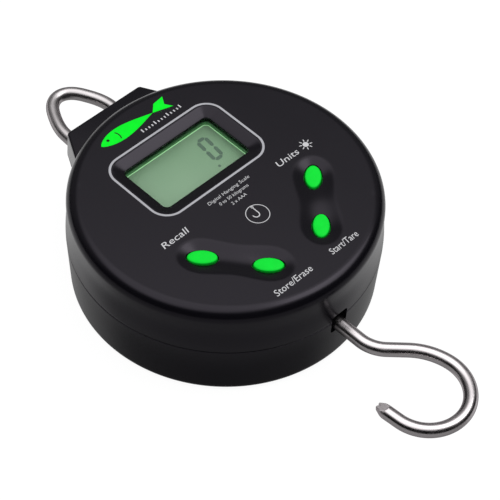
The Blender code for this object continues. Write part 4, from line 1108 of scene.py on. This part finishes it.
def build_light_symbol():
    """A disc with eight tapered rays."""
    centre = np.array((31.7, -3.6))
    print_shape("light_symbol_disc", [disc(*centre, 1.02, 32)])
    for k in range(8):
        a = math.radians(22.5 + 45.0 * k)
        out = np.array((math.cos(a), math.sin(a)))
        side = np.array((-math.sin(a), math.cos(a)))
        ray = [tuple(centre + out * reach + side * half) for reach, half in
               ((1.36, 0.20), (2.25, 0.12), (2.25, -0.12), (1.36, -0.20))]
        print_shape("light_symbol_ray_%d" % (k + 1), [ray])


def build_round_mark():
    """A ring with a plain hook in it."""
    print_band("round_mark_ring", PRINT_WHITE, disc(0.0, -13.9, 3.86, 72),
               disc(0.0, -13.9, 3.62, 72))
    shank_x, bend_y = 0.55, -13.6
    hook = [(shank_x, y) for y in np.linspace(-11.2, bend_y, 8)]
    hook += [(-shank_x + 1.1 * math.cos(a), bend_y + 1.25 * math.sin(a))
             for a in np.linspace(0, -math.pi * 1.05, 26)[1:]]
    print_shape("round_mark_hook", [stroke(hook, 0.34)])
    print_shape("round_mark_eye", [disc(shank_x, -10.8, radius, 24) for radius in (0.46, 0.22)])


def build_fish():
    """Fish with its nose to -X, and holes for the eye and the gill line."""
    def flank(t, height):
        """Point on the body's edge, from the nose (t = 0) to the tail's root (t = 1)."""
        return (-16.6 + 22.0 * t,
                39.7 + height * math.sin(math.pi * t ** 0.72) * (1 - 0.12 * t))

    body = [flank(t, 3.15) for t in np.linspace(0, 1, 49)]
    body += [(8.3, 42.5), (12.6, 43.0), (10.8, 40.0), (12.4, 37.5), (8.3, 37.8)]       # tail
    body += [flank(t, -2.65) for t in np.linspace(1, 0, 49)[:-1]]
    gill = stroke([(-9.9 + 0.9 * math.cos(a), 39.8 + 1.8 * math.sin(a))
                   for a in np.linspace(-1.15, 1.15, 15)], 0.42)
    print_shape("fish_outline", [body, disc(-13.3, 40.3, 0.55, 20), gill], PRINT_GREEN)


def build_rule():
    """Graduated rule under the fish, every fourth tick longer."""
    first_x, pitch, half, base_y = -2.4, 1.35, 0.22, 35.3
    for k in range(13):
        x = first_x + pitch * k
        top_y = base_y + (1.45 if k % 4 == 0 else 0.85)
        print_shape("rule_tick_%02d" % (k + 1), [[(x - half, base_y), (x + half, base_y),
                                                  (x + half, top_y), (x - half, top_y)]])


# ------------------------------------------------------------------ stage, camera and light
# The camera stands to -X and -Y of the scale, above it. Its frame: towards_camera, right, up.
CAMERA_AZIMUTH = math.radians(-46.8762)
CAMERA_ELEVATION = math.radians(50.2883)
CAMERA_ROLL = math.radians(2.9898)
CAMERA_DISTANCE, CAMERA_RIGHT, CAMERA_UP = 0.606195, 0.008625, 0.00525     # metres
CAMERA_LENS = 133.39368                        # mm, on a 36 mm wide sensor

towards_camera = Vector((math.sin(CAMERA_AZIMUTH) * math.cos(CAMERA_ELEVATION),
                         -math.cos(CAMERA_AZIMUTH) * math.cos(CAMERA_ELEVATION),
                         math.sin(CAMERA_ELEVATION)))
level_to_camera = Vector((towards_camera.x, towards_camera.y, 0)).normalized()

FLOOR_GLOW = 0.93                              # the floor's own light, as the camera sees it
# What the scale mirrors of the floor: on the camera's side, elsewhere, and close to the case.
MIRRORED_NEAR, MIRRORED_FAR = 0.37, 0.92
CASE_SHADE, CASE_SHADE_REACH = 0.40, (0.056, 0.070)     # factor; from and to, metres from the axis
SKY_UPPER, SKY_AMBIENT = 2.10, 0.95            # sky in reflections, and for diffuse light


def floor_material():
    material, tree = new_material("pale_floor")
    tree.nodes.remove(tree.nodes["Principled BSDF"])
    coords = add_node(tree, "TexCoord").outputs["Object"]
    grey = colour_ramp(tree, noise(tree, coords, scale=6.0),
                       (0.10, 0.10, 0.10, 1.0), (0.11, 0.11, 0.11, 1.0))
    paper = add_node(tree, "BsdfDiffuse", {"Color": grey}).outputs["BSDF"]
    glow = add_node(tree, "Emission", {"Strength": FLOOR_GLOW}).outputs["Emission"]
    seen = add_node(tree, "AddShader", {0: paper, 1: glow}).outputs["Shader"]
    geometry = add_node(tree, "NewGeometry").outputs
    level = (1.0, 1.0, 0.0)                    # drops the z part of a vector
    heading = vector_math(tree, "NORMALIZE",
                          vector_math(tree, "MULTIPLY", geometry["Incoming"], level))
    facing = vector_math(tree, "DOT_PRODUCT", heading, tuple(-level_to_camera))
    by_heading = remap(tree, facing, span=(-0.45, 0.30), to=(MIRRORED_FAR, MIRRORED_NEAR),
                       smooth=True)
    reach = vector_math(tree, "LENGTH",
                        vector_math(tree, "MULTIPLY", geometry["Position"], level))
    by_reach = remap(tree, reach, span=CASE_SHADE_REACH, to=(CASE_SHADE, 1.0), smooth=True)
    strength = scalar_math(tree, "MULTIPLY", by_heading, by_reach)
    mirrored = add_node(tree, "Emission", {"Strength": strength}).outputs["Emission"]
    is_camera = add_node(tree, "LightPath").outputs["Is Camera Ray"]
    above = mix_shader(tree, is_camera, mirrored, seen)
    below = add_node(tree, "BsdfTransparent").outputs["BSDF"]
    set_inputs(tree, tree.nodes["Material Output"],
               {"Surface": mix_shader(tree, geometry["Backfacing"], above, below)})
    return material


def build_floor():
    size = 3000
    floor = mesh_object("floor", [(-size, -size, 0), (size, -size, 0), (size, size, 0),
                                  (-size, size, 0)], [(0, 1, 2, 3)])
    floor.data.materials.append(floor_material())


def build_camera():
    level_right = (-towards_camera).cross(Vector((0, 0, 1))).normalized()
    level_up = level_right.cross(-towards_camera)
    c, s = math.cos(CAMERA_ROLL), math.sin(CAMERA_ROLL)
    right = c * level_right + s * level_up
    up = -s * level_right + c * level_up
    place = towards_camera * CAMERA_DISTANCE + right * CAMERA_RIGHT + up * CAMERA_UP
    data = bpy.data.cameras.new("camera")
    camera = link(bpy.data.objects.new("camera", data))
    rotation = Matrix((right, up, towards_camera)).transposed()
    camera.matrix_world = Matrix.Translation(place) @ rotation.to_4x4()
    data.sensor_width = 36.0
    data.sensor_fit = "HORIZONTAL"
    data.lens = CAMERA_LENS
    data.clip_start = 0.01
    data.clip_end = 50.0
    bpy.context.scene.camera = camera


def build_world():
    """White sky: a bright patch high up and behind for reflections, even light for the rest."""
    world = bpy.data.worlds.new("studio")
    bpy.context.scene.world = world
    world.use_nodes = True
    tree = world.node_tree
    direction = add_node(tree, "TexCoord").outputs["Generated"]
    camera_left = Vector((level_to_camera.y, -level_to_camera.x, 0.0))
    patch_axis = Vector((0, 0, 0.90)) - level_to_camera * 0.50 + camera_left * 0.15
    tilt = vector_math(tree, "DOT_PRODUCT", direction, tuple(patch_axis))
    height = vector_math(tree, "DOT_PRODUCT", direction, (0, 0, 1))
    upper = scalar_math(tree, "MULTIPLY",
                        remap(tree, tilt, span=(0.30, 0.85), to=(0.0, SKY_UPPER), smooth=True),
                        remap(tree, height, span=(0.66, 0.88), to=(0.12, 1.0), smooth=True))
    ray = add_node(tree, "LightPath").outputs
    lighting = mix(tree, "FLOAT", ray["Is Diffuse Ray"], upper, SKY_AMBIENT)
    strength = mix(tree, "FLOAT", ray["Is Camera Ray"], lighting, 1.0)
    set_inputs(tree, tree.nodes["Background"],
               {"Strength": strength, "Color": (1.0, 1.0, 1.0, 1.0)})


def build_key_light():
    """Square softbox high on the +X side, aimed at the origin."""
    data = bpy.data.lights.new("key_softbox", "AREA")
    data.shape = "RECTANGLE"
    data.size = 0.75
    data.size_y = 0.75
    data.energy = 4.2
    light = link(bpy.data.objects.new("key_softbox", data))
    distance = 1.3
    place = Vector((0.44, -0.235, 0.866)).normalized() * distance
    light.location = place
    light.rotation_mode = "QUATERNION"
    light.rotation_quaternion = (-place).to_track_quat("-Z", "Y")


# ------------------------------------------------------------------ build
dress_cad_pieces()
build_front_case()
build_rear_case()
build_battery_cover()
build_hook()
build_loop()
build_buttons()
build_window()
build_lcd_panel()
build_lcd_holder()
# Painted reflection: a glowing dark green side of the display glass round the opening's foot, for
# the green display mirrored in the shaded wall; and a painted highlight, its glowing bright edge.
glass_ring("display_glass_side_painted_reflection", GLASS_SIDE_REFLECTION, outer=0.24, inner=0.0,
           z_low=LCD_TOP_Z + 0.02, z_high=33.95)
glass_ring("display_glass_edge_painted_highlight", GLASS_EDGE_HIGHLIGHT, outer=0.0, inner=-0.30,
           z_low=LCD_TOP_Z + 0.01, z_high=LCD_TOP_Z + 0.07)
build_digits()
build_display_border()
for legend in LEGENDS:
    build_legend(*legend)
build_light_symbol()
build_round_mark()
build_fish()
build_rule()
build_floor()
build_camera()
build_world()
build_key_light()

bpy.context.scene.view_settings.view_transform = "Standard"
bpy.context.scene.view_settings.look = "None"
